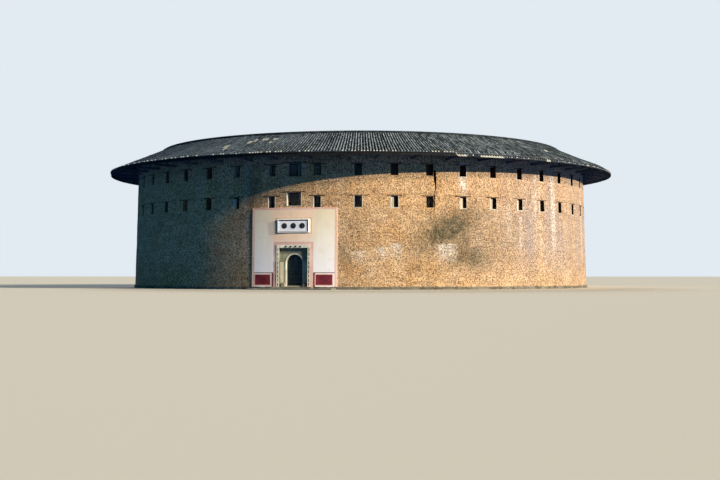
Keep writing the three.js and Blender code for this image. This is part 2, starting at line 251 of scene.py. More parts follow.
# Round timbers from starts to ends
def logs(heap, starts, ends, radius, sides=8, finish=0, seed=1):
    starts, ends = np.broadcast_arrays(np.atleast_2d(starts), np.atleast_2d(ends))
    dice = np.random.default_rng(seed)
    turn = 2 * math.pi * np.arange(sides) / sides
    caps = np.array([np.arange(sides)[::-1], np.arange(sides) + sides])
    sideFaces = gridFaces(2, sides, ring=True).reshape(-1, 4)
    for start, end in zip(starts, ends):
        along = (end - start) / np.linalg.norm(end - start)
        across = np.cross(along, (0, 0, 1) if abs(along[2]) < 0.9 else (1, 0, 0))
        across /= np.linalg.norm(across)
        rise = np.cross(along, across)
        circle = radius * (np.cos(turn)[:, None] * across + np.sin(turn)[:, None] * rise)
        tone = dice.uniform(0, 1)
        reach = np.linalg.norm(end - start)
        flat = radius * np.stack([0 * turn, np.cos(turn), np.sin(turn)], axis=1) + dice.uniform(0, 60, 3)
        grain = np.concatenate([flat, flat + (reach, 0, 0)])
        first = heap.add(np.concatenate([start + circle, end + circle]), sideFaces, tone, finish, grain)
        heap.face(first, caps, tone, finish)


# A square-edged ring: its section as [radius, height] corners, anticlockwise
def ringBar(heap, outline, steps, finish=0, tints=None, rough=0.0, seed=1):
    angles = np.arange(steps) * 360 / steps
    radius, height = np.array(outline, float).T
    corners = ringPoint(radius[:, None], angles[None, :], height[:, None])
    corners += np.random.default_rng(seed).uniform(-rough, rough, corners.shape)
    along = np.radians(angles) * radius.mean()
    grain = np.stack(np.broadcast_arrays(along[None, :], radius[:, None], height[:, None]), axis=-1)
    tones = np.random.default_rng(seed + 1).uniform(0, 1, steps) if tints is None else tints
    faces = gridFaces(len(outline), steps, ring=True, tube=True)
    heap.add(corners, faces, np.tile(tones, len(outline)), finish, grain)


# The square section of a ring bar
def section(inner, outer, low, high):
    return [(inner, low), (outer, low), (outer, high), (inner, high)]


# Upright timbers on the ring, one at each angle or step sideways
def posts(heap, radius, angles, low, high, width, depth, sideways=0.0, **look):
    feet, heads = (ringPoint(radius, angles, height, sideways) for height in (low, high))
    timbers(heap, feet, heads, width, depth, ringPoint(1.0, angles, 0.0), **look)


# Level timbers that point at the middle of the ring
def spokes(heap, inner, outer, angles, height, width, depth, **look):
    timbers(heap, ringPoint(inner, angles, height), ringPoint(outer, angles, height), width, depth, **look)


# Level timbers from some angles to others at one radius
def chords(heap, radius, angles, beyond, height, width, depth, **look):
    timbers(heap, ringPoint(radius, angles, height), ringPoint(radius, beyond, height), width, depth, **look)


# How far an angle is past another one, from -180 to 180
def turnFrom(angles, angle):
    return (angles - angle + 180) % 360 - 180


# A share that grows from 0 to 1 between two angles and falls again between two others
def risingShare(angles, spans):
    return np.interp(np.mod(angles, 360), spans, [0, 1, 1, 0])


# Camera, floor and light
camera = {
    "azimuth": 14.384,
    "distance": 73.746,
    "height": 0.732,
    "pitch": 1.794,
    "aimLeft": 0.038,
    "lens": 57.02,
    "sensor": 36.0,
}
stage = {
    "half": 900.0,
    "floorTone": (232, 224, 206),
    "floorBounce": (8, 84, 158),
    "sky": (226, 234, 242),
    "fill": (80, 165, 218),
    "lowFill": 0.38,
    "highFill": 0.18,
}
lamps = {
    "sun": {"azimuth": 77.4, "elevation": 16.8, "power": 3.6, "tone": (255, 243, 222), "softness": 1.0},
    "haze": {"azimuth": 68.5, "elevation": 26.0, "power": 1.7, "tone": (255, 238, 212), "softness": 6.0,
             "without": ["windowFrames", "galleryTimber", "galleryFrieze"]},
    "gateGlow": {"azimuth": 60.0, "elevation": 22.0, "power": 2.2, "tone": (250, 248, 246), "softness": 5.0,
                 "only": ["gatePlaster", "nameBoard", "gateSurround", "gateBacking", "archBand", "footStones"]},
    "backFill": {"azimuth": 205.0, "elevation": 38.0, "power": 1.15, "tone": (236, 234, 232), "softness": 30.0,
                 "without": [piece + storey for storey in "234" for piece in ("deckBoards", "deckJoists")]},
}


def tone(red, green, blue):
    share = np.array([red, green, blue]) / 255
    linear = np.where(share <= 0.04045, share / 12.92, ((share + 0.055) / 1.055) ** 2.4)
    return (*linear.tolist(), 1.0)


def makeCamera():
    data = bpy.data.cameras.new("view")
    data.lens = camera["lens"]
    data.sensor_width = camera["sensor"]
    data.sensor_fit = "HORIZONTAL"
    data.clip_end = 5000
    seat = bpy.data.objects.new("view", data)
    turn = math.radians(camera["azimuth"])
    seat.location = (
        camera["distance"] * math.sin(turn),
        -camera["distance"] * math.cos(turn),
        camera["height"],
    )
    aim = math.radians(camera["azimuth"] + camera["aimLeft"])
    seat.rotation_euler = (math.radians(90 + camera["pitch"]), 0, aim)
    bpy.context.scene.collection.objects.link(seat)
    bpy.context.scene.camera = seat


def makeLamp(name, lamp):
    data = bpy.data.lights.new(name, "SUN")
    data.energy = lamp["power"]
    data.color = tone(*lamp["tone"])[:3]
    data.angle = math.radians(lamp["softness"])
    seat = bpy.data.objects.new(name, data)
    seat.rotation_euler = (math.radians(90 - lamp["elevation"]), 0, math.radians(lamp["azimuth"]))
    bpy.context.scene.collection.objects.link(seat)
    return seat


# Shader nodes, added to the tree of a material, a group or the world
class Nodes:
    def __init__(self, tree):
        self.tree = tree

    def add(self, kind, inputs=None, **settings):
        made = self.tree.nodes.new("ShaderNode" + kind)
        for key, value in settings.items():
            setattr(made, key, value)
        for key, value in (inputs or {}).items():
            self.feed(made.inputs[key], value)
        return made.outputs

    def feed(self, socket, value):
        if isinstance(value, bpy.types.NodeSocket):
            self.tree.links.new(value, socket)
        else:
            socket.default_value = value

    def math(self, operation, *values):
        return self.add("Math", dict(enumerate(values)), operation=operation)[0]

    def times(self, first, second):
        return self.math("MULTIPLY", first, second)

    def plus(self, first, second):
        return self.math("ADD", first, second)

    def weighted(self, first, share, second, otherShare):
        return self.plus(self.times(first, share), self.times(second, otherShare))

    def spread(self, value, low, high, toLow=0.0, toHigh=1.0):
        marks = {"From Min": low, "From Max": high, "To Min": toLow, "To Max": toHigh}
        return self.add("MapRange", {"Value": value, **marks})[0]

    def mix(self, factor, first, second, mode="MIX"):
        return self.add("Mix", {0: factor, 6: first, 7: second}, data_type="RGBA", blend_type=mode)[2]

    def noise(self, place, scale, detail, roughness=0.5):
        given = {"Vector": place, "Scale": scale, "Detail": detail, "Roughness": roughness}
        return self.add("TexNoise", given)["Fac"]

    def stretch(self, place, *scale):
        return self.add("Mapping", {"Vector": place, "Scale": scale})[0]

    def mark(self, name, kind="Fac"):
        return self.add("Attribute", attribute_name=name)[kind]

    def ramp(self, value, stops):
        outputs = self.add("ValToRGB", {"Fac": value})
        band = outputs["Color"].node.color_ramp
        while len(band.elements) < len(stops):
            band.elements.new(0.5)
        for element, (position, shade) in zip(band.elements, stops):
            element.position = position
            element.color = tone(*shade)
        return outputs["Color"]

    def group(self, group, place, **inputs):
        return self.add("Group", {"Vector": place, **inputs}, node_tree=group)


def newGroup(name, inputs, *outputs):
    group = bpy.data.node_groups.new(name, "ShaderNodeTree")
    group.interface.new_socket(name="Vector", in_out="INPUT", socket_type="NodeSocketVector")
    for label, value in inputs.items():
        socket = group.interface.new_socket(name=label, in_out="INPUT", socket_type="NodeSocketFloat")
        socket.default_value = value
    for label in outputs:
        group.interface.new_socket(name=label, in_out="OUTPUT", socket_type="NodeSocketFloat")
    return Nodes(group), group.nodes.new("NodeGroupInput").outputs, group.nodes.new("NodeGroupOutput").inputs


# Patches: noise cut between a low and a high mark
def makePatches():
    nodes, given, result = newGroup("patches", {"Scale": 1.0, "Low": 0.4, "High": 0.6}, "Mask")
    cloud = nodes.noise(given["Vector"], given["Scale"], 5.0)
    nodes.feed(result["Mask"], nodes.spread(cloud, given["Low"], given["High"]))
    return nodes.tree


# Flecks: small stones or holes scattered in cells, each with its own shade
def makeFlecks():
    nodes, given, result = newGroup("flecks", {"Scale": 10.0, "Reach": 0.3, "Share": 0.5}, "Mask", "Shade")
    cells = nodes.add("TexVoronoi", {"Vector": given["Vector"], "Scale": given["Scale"]})
    apart = nodes.add("SeparateColor", {"Color": cells["Color"]})
    near = nodes.spread(cells["Distance"], given["Reach"], nodes.times(given["Reach"], 0.6))
    chosen = nodes.math("LESS_THAN", apart["Red"], given["Share"])
    nodes.feed(result["Mask"], nodes.times(near, chosen))
    nodes.feed(result["Shade"], apart["Green"])
    return nodes.tree


# Wood: streaks that run along each timber, from its own grain coordinates
def makeWoodStreaks():
    nodes, given, result = newGroup("woodStreaks", {"Scale": 8.0}, "Streak", "Height")
    thin = nodes.stretch(given["Vector"], 0.06, 1.0, 1.0)
    broad = nodes.noise(thin, given["Scale"], 6.0, 0.6)
    fine = nodes.noise(thin, nodes.times(given["Scale"], 4.0), 4.0)
    nodes.feed(result["Streak"], broad)
    nodes.feed(result["Height"], nodes.weighted(broad, 0.65, fine, 0.35))
    return nodes.tree


# Rain streaks: noise drawn out downwards
def makeRainStreaks():
    nodes, given, result = newGroup("rainStreaks", {"Scale": 2.0, "Low": 0.5, "High": 0.7}, "Mask")
    drawn = nodes.noise(nodes.stretch(given["Vector"], 1.0, 1.0, 0.07), given["Scale"], 4.0)
    nodes.feed(result["Mask"], nodes.spread(drawn, given["Low"], given["High"]))
    return nodes.tree


patches = makePatches()
flecks = makeFlecks()
woodStreaks = makeWoodStreaks()
rainStreaks = makeRainStreaks()


# A material whose shade is painted in layers, one cover over the other
class Finish(Nodes):
    def __init__(self, name):
        self.material = bpy.data.materials.new(name)
        self.material.use_nodes = True
        super().__init__(self.material.node_tree)
        self.place = self.add("TexCoord")["Object"]
        self.shade = None

    def patch(self, scale, low, high, kind=patches, place=None):
        where = self.place if place is None else place
        return self.group(kind, where, Scale=scale, Low=low, High=high)["Mask"]

    def cover(self, mask, strength, shade):
        share = mask if strength == 1 else self.times(mask, strength)
        over = shade if isinstance(shade, bpy.types.NodeSocket) else tone(*shade)
        self.shade = self.mix(share, self.shade, over)

    def scaleBy(self, value):
        grey = self.add("CombineColor", {0: value, 1: value, 2: value})[0]
        self.shade = self.mix(1.0, self.shade, grey, "MULTIPLY")

    def done(self, roughness, height=None, strength=0.3, distance=0.02):
        sockets = self.tree.nodes["Principled BSDF"].inputs
        self.feed(sockets["Base Color"], self.shade)
        sockets["Roughness"].default_value = roughness
        sockets["Specular IOR Level"].default_value = 0.25
        if height is not None:
            bump = self.add("Bump", {"Height": height, "Strength": strength, "Distance": distance})
            self.feed(sockets["Normal"], bump["Normal"])
        return self.material


# Rammed earth: lifts with their own tone, pebbles, putlog holes, rain streaks, lime, darker patches and a
# greyer, darker sun side; the holes, one patch and the sun side's darkening are painted shade, and the tint
# carries a band of painted light near the gate
earth = {
    "ochre": (204, 164, 118),
    "pale": (224, 194, 156),
    "brown": (158, 118, 80),
    "orange": (212, 166, 112),
    "bleachAndShadeTone": (170, 154, 146),
    "patchTone": (84, 80, 60),
    "lime": (236, 224, 208),
    "hole": (62, 44, 32),
    "groove": (128, 88, 56),
    "pebbles": [(0.0, (92, 70, 52)), (0.45, (150, 120, 88)), (1.0, (236, 214, 180))],
    "smoothFrom": 4.3,
    "longJoint": 4.98,
    "lift": 0.21,
}


def makeRammedEarth():
    made = Finish("rammedEarth")
    place = made.place
    height = made.add("SeparateXYZ", {"Vector": place})["Z"]
    upper = made.spread(height, earth["smoothFrom"] - 0.15, earth["smoothFrom"] + 0.25)
    made.shade = made.mix(made.patch(0.9, 0.35, 0.68), tone(*earth["ochre"]), tone(*earth["pale"]))
    made.cover(made.spread(upper, 0, 1, 0.36, 0.55), 1, earth["orange"])
    made.cover(made.patch(2.6, 0.5, 0.74), 0.36, earth["brown"])
    made.scaleBy(made.spread(made.mark("tint"), 0, 1, 0.87, 1.1))
    pebbles = made.group(flecks, place, Scale=11.0, Reach=0.34, Share=0.4)
    fewer = made.spread(upper, 0, 1, 0.75, 0.25)
    made.cover(pebbles["Mask"], fewer, made.ramp(pebbles["Shade"], earth["pebbles"]))
    # putlog holes as dark dots: painted shade inside the holes
    holes = made.group(flecks, place, Scale=2.1, Reach=0.085, Share=0.4)["Mask"]
    made.cover(holes, 0.85, earth["hole"])
    bands = made.spread(made.math("PINGPONG", height, earth["lift"] / 2), 0.012, 0.0)
    groove = made.times(bands, made.patch(1.7, 0.45, 0.6))
    fromJoint = made.math("ABSOLUTE", made.math("SUBTRACT", height, earth["longJoint"]))
    groove = made.math("MAXIMUM", groove, made.times(made.spread(fromJoint, 0.02, 0.008), 0.8))
    made.cover(groove, 0.4, earth["groove"])
    made.cover(made.patch(1.6, 0.56, 0.75, rainStreaks), 0.3, earth["pale"])
    runs = made.patch(1.5, 0.3, 0.72, place=made.stretch(place, 1.0, 1.0, 0.09))
    # the sun side turns greyer and darker: partly a greyer tone, partly painted shade that evens out the
    # stronger sun there
    made.cover(made.mark("bleachAndShade"), made.plus(made.times(runs, 0.75), 0.3), earth["bleachAndShadeTone"])
    mottled = made.plus(made.times(made.patch(3.4, 0.25, 0.6), 0.5), 0.62)
    # darker patches, mottled; one of them is painted shade beside the gate
    made.cover(made.mark("darkPatch"), mottled, earth["patchTone"])
    ragged = made.patch(7.0, 0.38, 0.6, place=made.stretch(place, 1.0, 1.0, 0.3))
    made.cover(made.mark("lime"), made.weighted(ragged, 0.65, runs, 0.55), earth["lime"])
    speck = made.noise(place, 14.0, 3.0, 0.8)
    clods = made.noise(place, 5.5, 3.0, 0.7)
    made.scaleBy(made.spread(made.weighted(speck, 0.9, clods, 0.1), 0.4, 0.6, 0.3, 1.72))
    relief = made.weighted(speck, 0.9, made.noise(place, 34.0, 4.0), 0.35)
    relief = made.plus(relief, made.times(pebbles["Mask"], 0.35))
    relief = made.math("SUBTRACT", relief, made.plus(made.times(holes, 1.5), groove))
    return made.done(0.93, relief, 0.55, 0.03)


def makeLimewash():
    made = Finish("limewash")
    made.shade = made.mix(made.patch(7.0, 0.42, 0.72), tone(236, 230, 214), tone(206, 178, 138))
    return made.done(0.88, made.noise(made.place, 30.0, 4.0), 0.35, 0.015)


# Roof tile: a tone for each tile, from the darkest, which also paints shade in the pans, to bleached, lichen on
# the humps and soot in broad stains
tileTones = {"sootAndShade": (6, 10, 14), "grey": (70, 84, 94), "bleached": (206, 218, 226), "lichen": (112, 122, 110)}


def makeRoofTile():
    made = Finish("roofTile")
    stops = [(0.0, tileTones["sootAndShade"]), (0.45, tileTones["grey"]), (1.0, tileTones["bleached"])]
    made.shade = made.ramp(made.mark("tint"), stops)
    made.cover(made.patch(2.2, 0.5, 0.72), 0.3, tileTones["lichen"])
    made.cover(made.patch(0.55, 0.42, 0.7), 0.35, tileTones["sootAndShade"])
    return made.done(0.82, made.noise(made.place, 22.0, 5.0), 0.4, 0.012)


def makePlain(name, low, high, scale, roughness, strength=0.3):
    made = Finish(name)
    made.shade = made.mix(made.patch(scale, 0.35, 0.68), tone(*low), tone(*high))
    made.scaleBy(made.spread(made.mark("tint"), 0, 1, 0.82, 1.14))
    return made.done(roughness, made.noise(made.place, scale * 9, 5.0), strength, 0.012)


def makeWood(name, dark, light, worn, roughness=0.78):
    made = Finish(name)
    streaks = made.group(woodStreaks, made.mark("grain", "Vector"), Scale=9.0)
    made.shade = made.ramp(streaks["Streak"], [(0.3, dark), (0.52, light), (0.7, worn)])
    made.scaleBy(made.spread(made.mark("tint"), 0, 1, 0.7, 1.25))
    made.cover(made.patch(1.6, 0.5, 0.8), 0.4, dark)
    return made.done(roughness, streaks["Height"], 0.4, 0.01)


rammedEarth = makeRammedEarth()
limewash = makeLimewash()
roofTile = makeRoofTile()
# near-black earth for the inside of the crack and the windows' right reveals: painted shade
shadeDarkEarth = makePlain("shadeDarkEarth", (46, 34, 26), (84, 64, 46), 6.0, 0.95, 0.5)
limeMortar = makePlain("limeMortar", (196, 196, 182), (232, 230, 214), 6.0, 0.9)
agedTimber = makeWood("agedTimber", (48, 34, 25), (92, 68, 48), (132, 106, 80))
# near-black timber for the window frames and bars and the fascia: painted shade
shadeBlackTimber = makeWood("shadeBlackTimber", (16, 15, 16), (30, 28, 28), (48, 44, 42))
floorBoards = makeWood("floorBoards", (72, 54, 40), (120, 94, 68), (152, 126, 96))
# bluish grey timber for the soffit, rafters, purlins and frieze: weathered grey with the blue of the shade under
# the eave painted in
soffitBoards = makeWood("soffitBoards", (50, 56, 64), (92, 100, 108), (124, 132, 138))
paleBoards = makeWood("paleBoards", (176, 158, 130), (224, 210, 184), (238, 228, 206), 0.85)
# pale boards for the shutters behind the front windows' frames: painted light that lifts the dark openings
shutterBoards = makeWood("shutterBoards", (172, 164, 140), (208, 200, 176), (224, 216, 192), 0.85)
# teal black door timber: dark lacquer with the blue of the recess's shade painted in
gateWood = makeWood("gateWood", (26, 38, 42), (52, 70, 74), (80, 98, 102), 0.6)
gateStone = makePlain("gateStone", (196, 190, 168), (230, 224, 204), 3.0, 0.8)
darkStone = makePlain("darkStone", (84, 80, 66), (120, 114, 94), 3.0, 0.85)
spandrelStone = makePlain("spandrelStone", (128, 128, 100), (164, 160, 130), 2.0, 0.85)
recessStone = makePlain("recessStone", (190, 180, 148), (226, 214, 180), 2.4, 0.8)
rubbleStone = makePlain("rubbleStone", (112, 104, 88), (158, 150, 130), 2.0, 0.9, 0.5)
pavingStone = makePlain("pavingStone", (132, 126, 112), (170, 164, 148), 1.6, 0.85, 0.4)
redPaint = makePlain("redPaint", (96, 30, 40), (132, 46, 54), 3.0, 0.62, 0.2)
maroonPaintAndShadow = makePlain("maroonPaintAndShadow", (92, 44, 50), (128, 78, 80), 4.0, 0.8, 0.2)
pinkWash = makePlain("pinkWash", (212, 166, 150), (228, 194, 178), 1.6, 0.88, 0.25)
peachWash = makePlain("peachWash", (222, 184, 152), (230, 204, 184), 0.7, 0.88, 0.25)
boardWhite = makePlain("boardWhite", (228, 226, 226), (246, 244, 242), 3.0, 0.7, 0.15)
boardInk = makePlain("boardInk", (28, 30, 34), (48, 50, 54), 3.0, 0.6, 0.2)
greyLine = makePlain("greyLine", (104, 104, 84), (140, 138, 114), 3.0, 0.85, 0.2)
print("finishes made")


# The earth wall: columns between edges, each edge an angle and a step sideways
wall = {
    "columnWidth": 0.2,
    "rowHeight": 0.21,
    "lift": 0.42,
    "board": 1.9,
    "swell": 0.02,
    "dimple": 0.008,
    "paintedLightFrom": ([9, 13, 20, 27], [0, 0.8, 0.8, 0]),
}
crack = {
    "bay": 2,
    "edges": [0.42, 0.5, 0.95],
    "top": 12.3,
    "foot": 8.2,
    "depth": 0.5,
    "lefts": [
        (8.2, 0.46), (9.0, 0.41), (9.9, 0.43), (10.15, 0.46),
        (10.7, 0.62), (11.1, 0.56), (11.5, 0.45), (12.3, 0.42),
    ],
    "widths": [
        (8.2, 0.02), (8.5, 0.08), (8.9, 0.13), (9.9, 0.12), (10.1, 0.07),
        (10.7, 0.12), (11.0, 0.18), (11.4, 0.24), (12.3, 0.3),
    ],
}
limeStreaks = [  # angle, half width, lowest and highest, strength
    (37.1, 0.5, 9.8, 13.6, 1.1), (49.0, 0.3, 5.0, 9.4, 0.4), (52.6, 0.3, 3.6, 8.0, 0.4),
    (57.6, 0.35, 7.2, 12.8, 0.6), (59.4, 0.3, 4.0, 11.5, 0.55), (64.8, 0.5, 3.8, 12.8, 0.7),
    (84.0, 0.5, 2.8, 12.8, 0.6), (128.0, 0.5, 6.0, 12.8, 0.6), (-11.2, 0.35, 2.0, 13.6, 0.3),
    (-70.0, 0.4, 7.0, 12.8, 0.5), (-118.0, 0.5, 6.0, 12.8, 0.5), (18.7, 0.75, 2.9, 4.4, 0.75),
    (21.9, 0.65, 3.1, 4.9, 0.8), (14.2, 0.9, 2.6, 4.0, 0.6), (32.9, 1.2, 2.6, 4.8, 0.8),
]
# darker patches on the earth; the one at -10 degrees, beside the gate, is painted shade
darkPatches = [  # angle, height, half width, half height, strength, lean
    (33.2, 6.3, 3.9, 2.0, 0.9, 0.36), (36.8, 7.2, 3.4, 1.6, 0.55, 0.2), (37.8, 3.6, 3.4, 1.6, 0.7, 0.0),
    (34.8, 5.0, 3.2, 1.8, 0.6, 0.0), (30.0, 4.8, 2.6, 1.6, 0.5, 0.0), (44.0, 5.6, 4.0, 2.4, 0.25, 0.0),
    (14.0, 6.4, 1.8, 1.6, 0.15, 0.0), (-10.0, 9.8, 1.3, 3.4, 0.6, 0.0), (10.8, 3.8, 1.3, 1.2, 0.35, 0.0),
    (150.0, 4.0, 3.5, 2.4, 0.6, 0.3), (-66.0, 3.4, 4.0, 2.0, 0.5, 0.0), (-140.0, 2.4, 5.0, 1.8, 0.5, -0.2),
]
# where the wall turns greyer and darker round the ring and up it: partly painted shade on the sun side
bleached = {
    "spans": [30.0, 56.0, 110.0, 150.0],
    "rise": [(1.0, 0.3), (3.0, 0.7), (5.0, 0.95), (8.6, 0.95), (10.0, 0.7)],
}
gate = {
    "half": 1.845,
    "top": 4.73,
    "front": 28.68,
    "recessHalf": 1.575,
    "recessTop": 4.39,
    "recessBack": 28.1,
    "archHalf": 0.9,
    "archSpring": 2.81,
    "archBack": 27.65,
    "passageBack": 26.95,
    "sill": 0.4,
    "rebateHalf": 1.13,
    "rebateTop": 3.97,
}


def layOut(edges):
    columns, places = [], []
    for (angle, side), (nextAngle, nextSide) in zip(edges, edges[1:]):
        span = math.radians(nextAngle - angle) * house["wallRadius"] + nextSide - side
        count = max(1, round(span / wall["columnWidth"]))
        places.append(len(columns))
        columns += [(angle, side, nextAngle, nextSide, i / count) for i in range(count)]
    places.append(len(columns))
    columns.append((*edges[-1], *edges[-1], 0.0))
    return np.array(columns), places


def anglesAt(columns, radius):
    angle, side, nextAngle, nextSide, share = columns.T
    here = angle + np.degrees(np.arcsin(side / radius))
    there = nextAngle + np.degrees(np.arcsin(nextSide / radius))
    return here + (there - here) * share


def sillsAndHeads():
    small = [(sill, sill + windows["height"]) for sill in windows["sills"]]
    wide = [(sill, sill + windows["wideHeight"]) for sill in windows["wideSills"]]
    return {round(height, 3) for ends in small + wide for height in ends}


def outerRows(bottom):
    fixed = sorted({house["groundTop"], gate["top"], house["wallTop"]} | sillsAndHeads())
    rows = []
    for low, high in zip(fixed, fixed[1:]):
        rows += np.linspace(low, high, max(1, round((high - low) / wall["rowHeight"])), endpoint=False).tolist()
    return np.array([row for row in [*rows, fixed[-1]] if row >= bottom - 0.001])


def innerRows(bottom):
    levels = [top - house["deckDepth"] for top in house["deckTops"]] + [house["tieBottom"]]
    edges = [house["groundTop"], *levels, house["wallTop"]]
    rows = []
    for i, (low, high) in enumerate(zip(edges, edges[1:])):
        radius = house["wallInner"] + i * house["ledge"]
        inside = sorted({height for height in sillsAndHeads() | {gate["top"]} if low < height < high})
        rows += [(radius, height) for height in [low, *inside, high]]
    return np.array([row for row in rows if row[1] >= bottom - 0.001])[::-1]


# The crack opens right of a window: three columns move to its sides and its middle, which goes in
def openCrack(face, angles, outer, centre, middle):
    heights, radius = outer[:, 0], wallRadiusAt(outer[:, 0])
    near = np.interp(heights, *zip(*crack["lefts"])) + 0.03 * ringNoise(0, heights, 3.0, 0.24, 8)
    near = np.maximum(near, windows["width"] / 2 + 0.01)
    opened = np.interp(heights, *zip(*crack["widths"])) * (1 + 0.4 * ringNoise(0, heights, 3.0, 0.22, 9))
    for step, share in ((-1, 0), (0, 0.5), (1, 1)):
        angles[:, middle + step] = centre + np.degrees((near + share * opened) / radius)
    ends = [crack["foot"] - 0.1, crack["foot"] + 0.1, crack["top"], crack["top"] + 0.5]
    face[:, middle] -= np.interp(heights, ends, [0, crack["depth"], crack["depth"], 0])


# Lime, darker patches and the greyer, darker sun side, which is partly painted shade, at each corner of the
# outer face
def wallMarks(angles, outer):
    arc = math.radians(house["wallRadius"])
    limes, darkened = np.zeros((2, *angles.shape))
    for angle, half, low, high, strength in limeStreaks:
        away = np.abs(turnFrom(angles, angle)) * arc / half
        inside = np.clip(1.5 - away * 1.2, 0, 1) * np.clip((outer - low) / 1.2, 0, 1) * (outer < high)
        limes = np.maximum(limes, inside * strength)
    for angle, height, across, tall, strength, lean in darkPatches:
        off = turnFrom(angles, angle) * arc
        away = (off / across) ** 2 + ((outer - height - lean * off) / tall) ** 2
        darkened = np.maximum(darkened, strength * np.exp(-away ** 1.2))
    sunSideShare = risingShare(angles, bleached["spans"]) * np.interp(outer, *zip(*bleached["rise"]))
    return {"lime": limes, "darkPatch": darkened, "bleachAndShade": sunSideShare}


def wallPiece(name, edges, holes, replaced, bottom=house["groundTop"], crackAt=None):
    columns, places = layOut(edges)
    outer, inner = outerRows(bottom)[:, None], innerRows(bottom)
    radius = wallRadiusAt(outer)
    angles = anglesAt(columns, radius)
    face = radius + wall["swell"] * ringNoise(angles, outer, 3.1, 1.9, 3)
    face = face + wall["dimple"] * ringNoise(angles, outer, 0.7, 0.5, 5)
    if crackAt is not None:
        openCrack(face, angles, outer, edges[crackAt][0], places[crackAt])
    innerFace = ringPoint(inner[:, :1], anglesAt(columns, inner[:, :1]), inner[:, 1:])
    corners = np.concatenate([ringPoint(face, angles, outer), innerFace])
    rows, count = corners.shape[:2]
    heights = np.concatenate([outer[:, 0], inner[:, 1]])
    isOuter = np.arange(rows) < len(outer)
    keep = np.ones((rows, count - 1), bool)
    for left, right, sill, head in holes:
        inHole = (heights >= sill - 0.001) & (heights <= head + 0.001)
        spans = inHole & np.roll(inHole, -1)
        keep[np.flatnonzero(spans)[:, None], np.arange(places[left], places[right])] = False
    middleAngle = (angles[:-1, :-1] + angles[1:, 1:]) / 2
    lift = np.floor((outer[:-1] + outer[1:]) / 2 / wall["lift"])
    board = np.floor(np.radians(middleAngle) * house["wallRadius"] / wall["board"] + lift * 0.37)
    each = (np.sin(lift * 12.9898 + board * 78.233) * 43758.5453) % 1
    # a band of lighter tint from 9 to 27 degrees, where the sun grazes the wall: painted light
    paintedLight = np.interp(np.mod(middleAngle, 360), *wall["paintedLightFrom"])
    tints = np.full((rows, count - 1), 0.5)
    tints[:len(outer) - 1] = each + paintedLight * (1 - each)
    looks = np.zeros((rows, count - 1), int)
    # faces inside the crack take the near-black earth: painted shade in the crack
    if crackAt is not None:
        inCrack = (outer[:-1, 0] > crack["foot"]) & (outer[:-1, 0] < crack["top"] + 0.3)
        looks[:len(outer) - 1, places[crackAt] - 1:places[crackAt] + 1] = 2 * inCrack[:, None]
    heap = Heap()
    faces = gridFaces(rows, count, tube=True)
    first = heap.add(corners, faces[keep], tints[keep], looks[keep], **wallMarks(angles, outer))
    number = np.arange(rows * count).reshape(rows, count)
    for left, right, sill, head in holes:
        left, right = places[left], places[right]
        turn = angles[0, left] % 360
        # lime on the left reveal, sill and head only for the lower row up to 200 degrees and every window past
        # 345 degrees; the reveals in shade keep the earth finish so they stay dark: partly painted shade
        look = int(sill < 10 and turn < 200 or turn > 345)
        inHole = (heights >= sill - 0.001) & (heights <= head + 0.001)
        up, down = np.flatnonzero(inHole & isOuter), np.flatnonzero(inHole & ~isOuter)
        around = np.concatenate([up, down])
        heap.face(first, [number[around, left][::-1]], 0.5, look)
        # the right reveal, away from the sun, takes the near-black earth: painted shade
        heap.face(first, [number[around, right]], 0.1, 2)
        for low, high, sense in ((up[0], down[-1], 1), (up[-1], down[0], -1)):
            loop = np.concatenate([number[low, left:right + 1], number[high, left:right + 1][::-1]])
            heap.face(first, [loop[::sense]], 0.5, look)
    heap.face(first, [number[:, 0]], 0.5, 0)
    heap.face(first, [number[::-1, -1]], 0.5, 0)
    makePiece(name, heap, [rammedEarth, limewash, shadeDarkEarth], replaced, crease=50)


def makeWalls():
    half = windows["width"] / 2
    for piece in range(house["bays"] // 4):
        edges, holes, crackAt = [], [], None
        for bay in range(piece * 4, piece * 4 + 4):
            edges.append((bayEdges[bay], 0.0))
            left = len(edges)
            edges += [(bayCentres[bay], -half), (bayCentres[bay], half)]
            holes += [(left, left + 1, sill, sill + windows["height"]) for sill in windows["sills"]]
            if bay == crack["bay"]:
                edges += [(bayCentres[bay], side) for side in crack["edges"]]
                crackAt = len(edges) - 2
        edges.append((bayEdges[piece * 4 + 4], 0.0))
        number = f"{piece + 1:02d}"
        wallPiece("rammedWall" + number, edges, holes, ["earth_wall_" + number], crackAt=crackAt)
    side, wide, door = windows["gateAngle"], windows["wideWidth"] / 2, gate["half"]
    small = [(1, 2, sill, sill + windows["height"]) for sill in windows["sills"]]
    rightEdges = [(0, door), (side, -half), (side, half), (house["gateBayHalf"], 0)]
    leftEdges = [(-angle, -step) for angle, step in rightEdges[::-1]]
    for name, sideEdges in (("Right", rightEdges), ("Left", leftEdges)):
        nodes = [f"earth_wall_gate_{name.lower()}{storey}" for storey in ("", "_third", "_fourth")]
        wallPiece("rammedWallGate" + name, sideEdges, small, nodes)
    middle = [(1, 2, sill, sill + windows["wideHeight"]) for sill in windows["wideSills"]]
    overEdges = [(0, -door), (0, -wide), (0, wide), (0, door)]
    wallPiece("rammedWallOverGate", overEdges, middle, ["earth_wall_over_gate"], bottom=gate["top"])


makeWalls()
print("earth walls made")


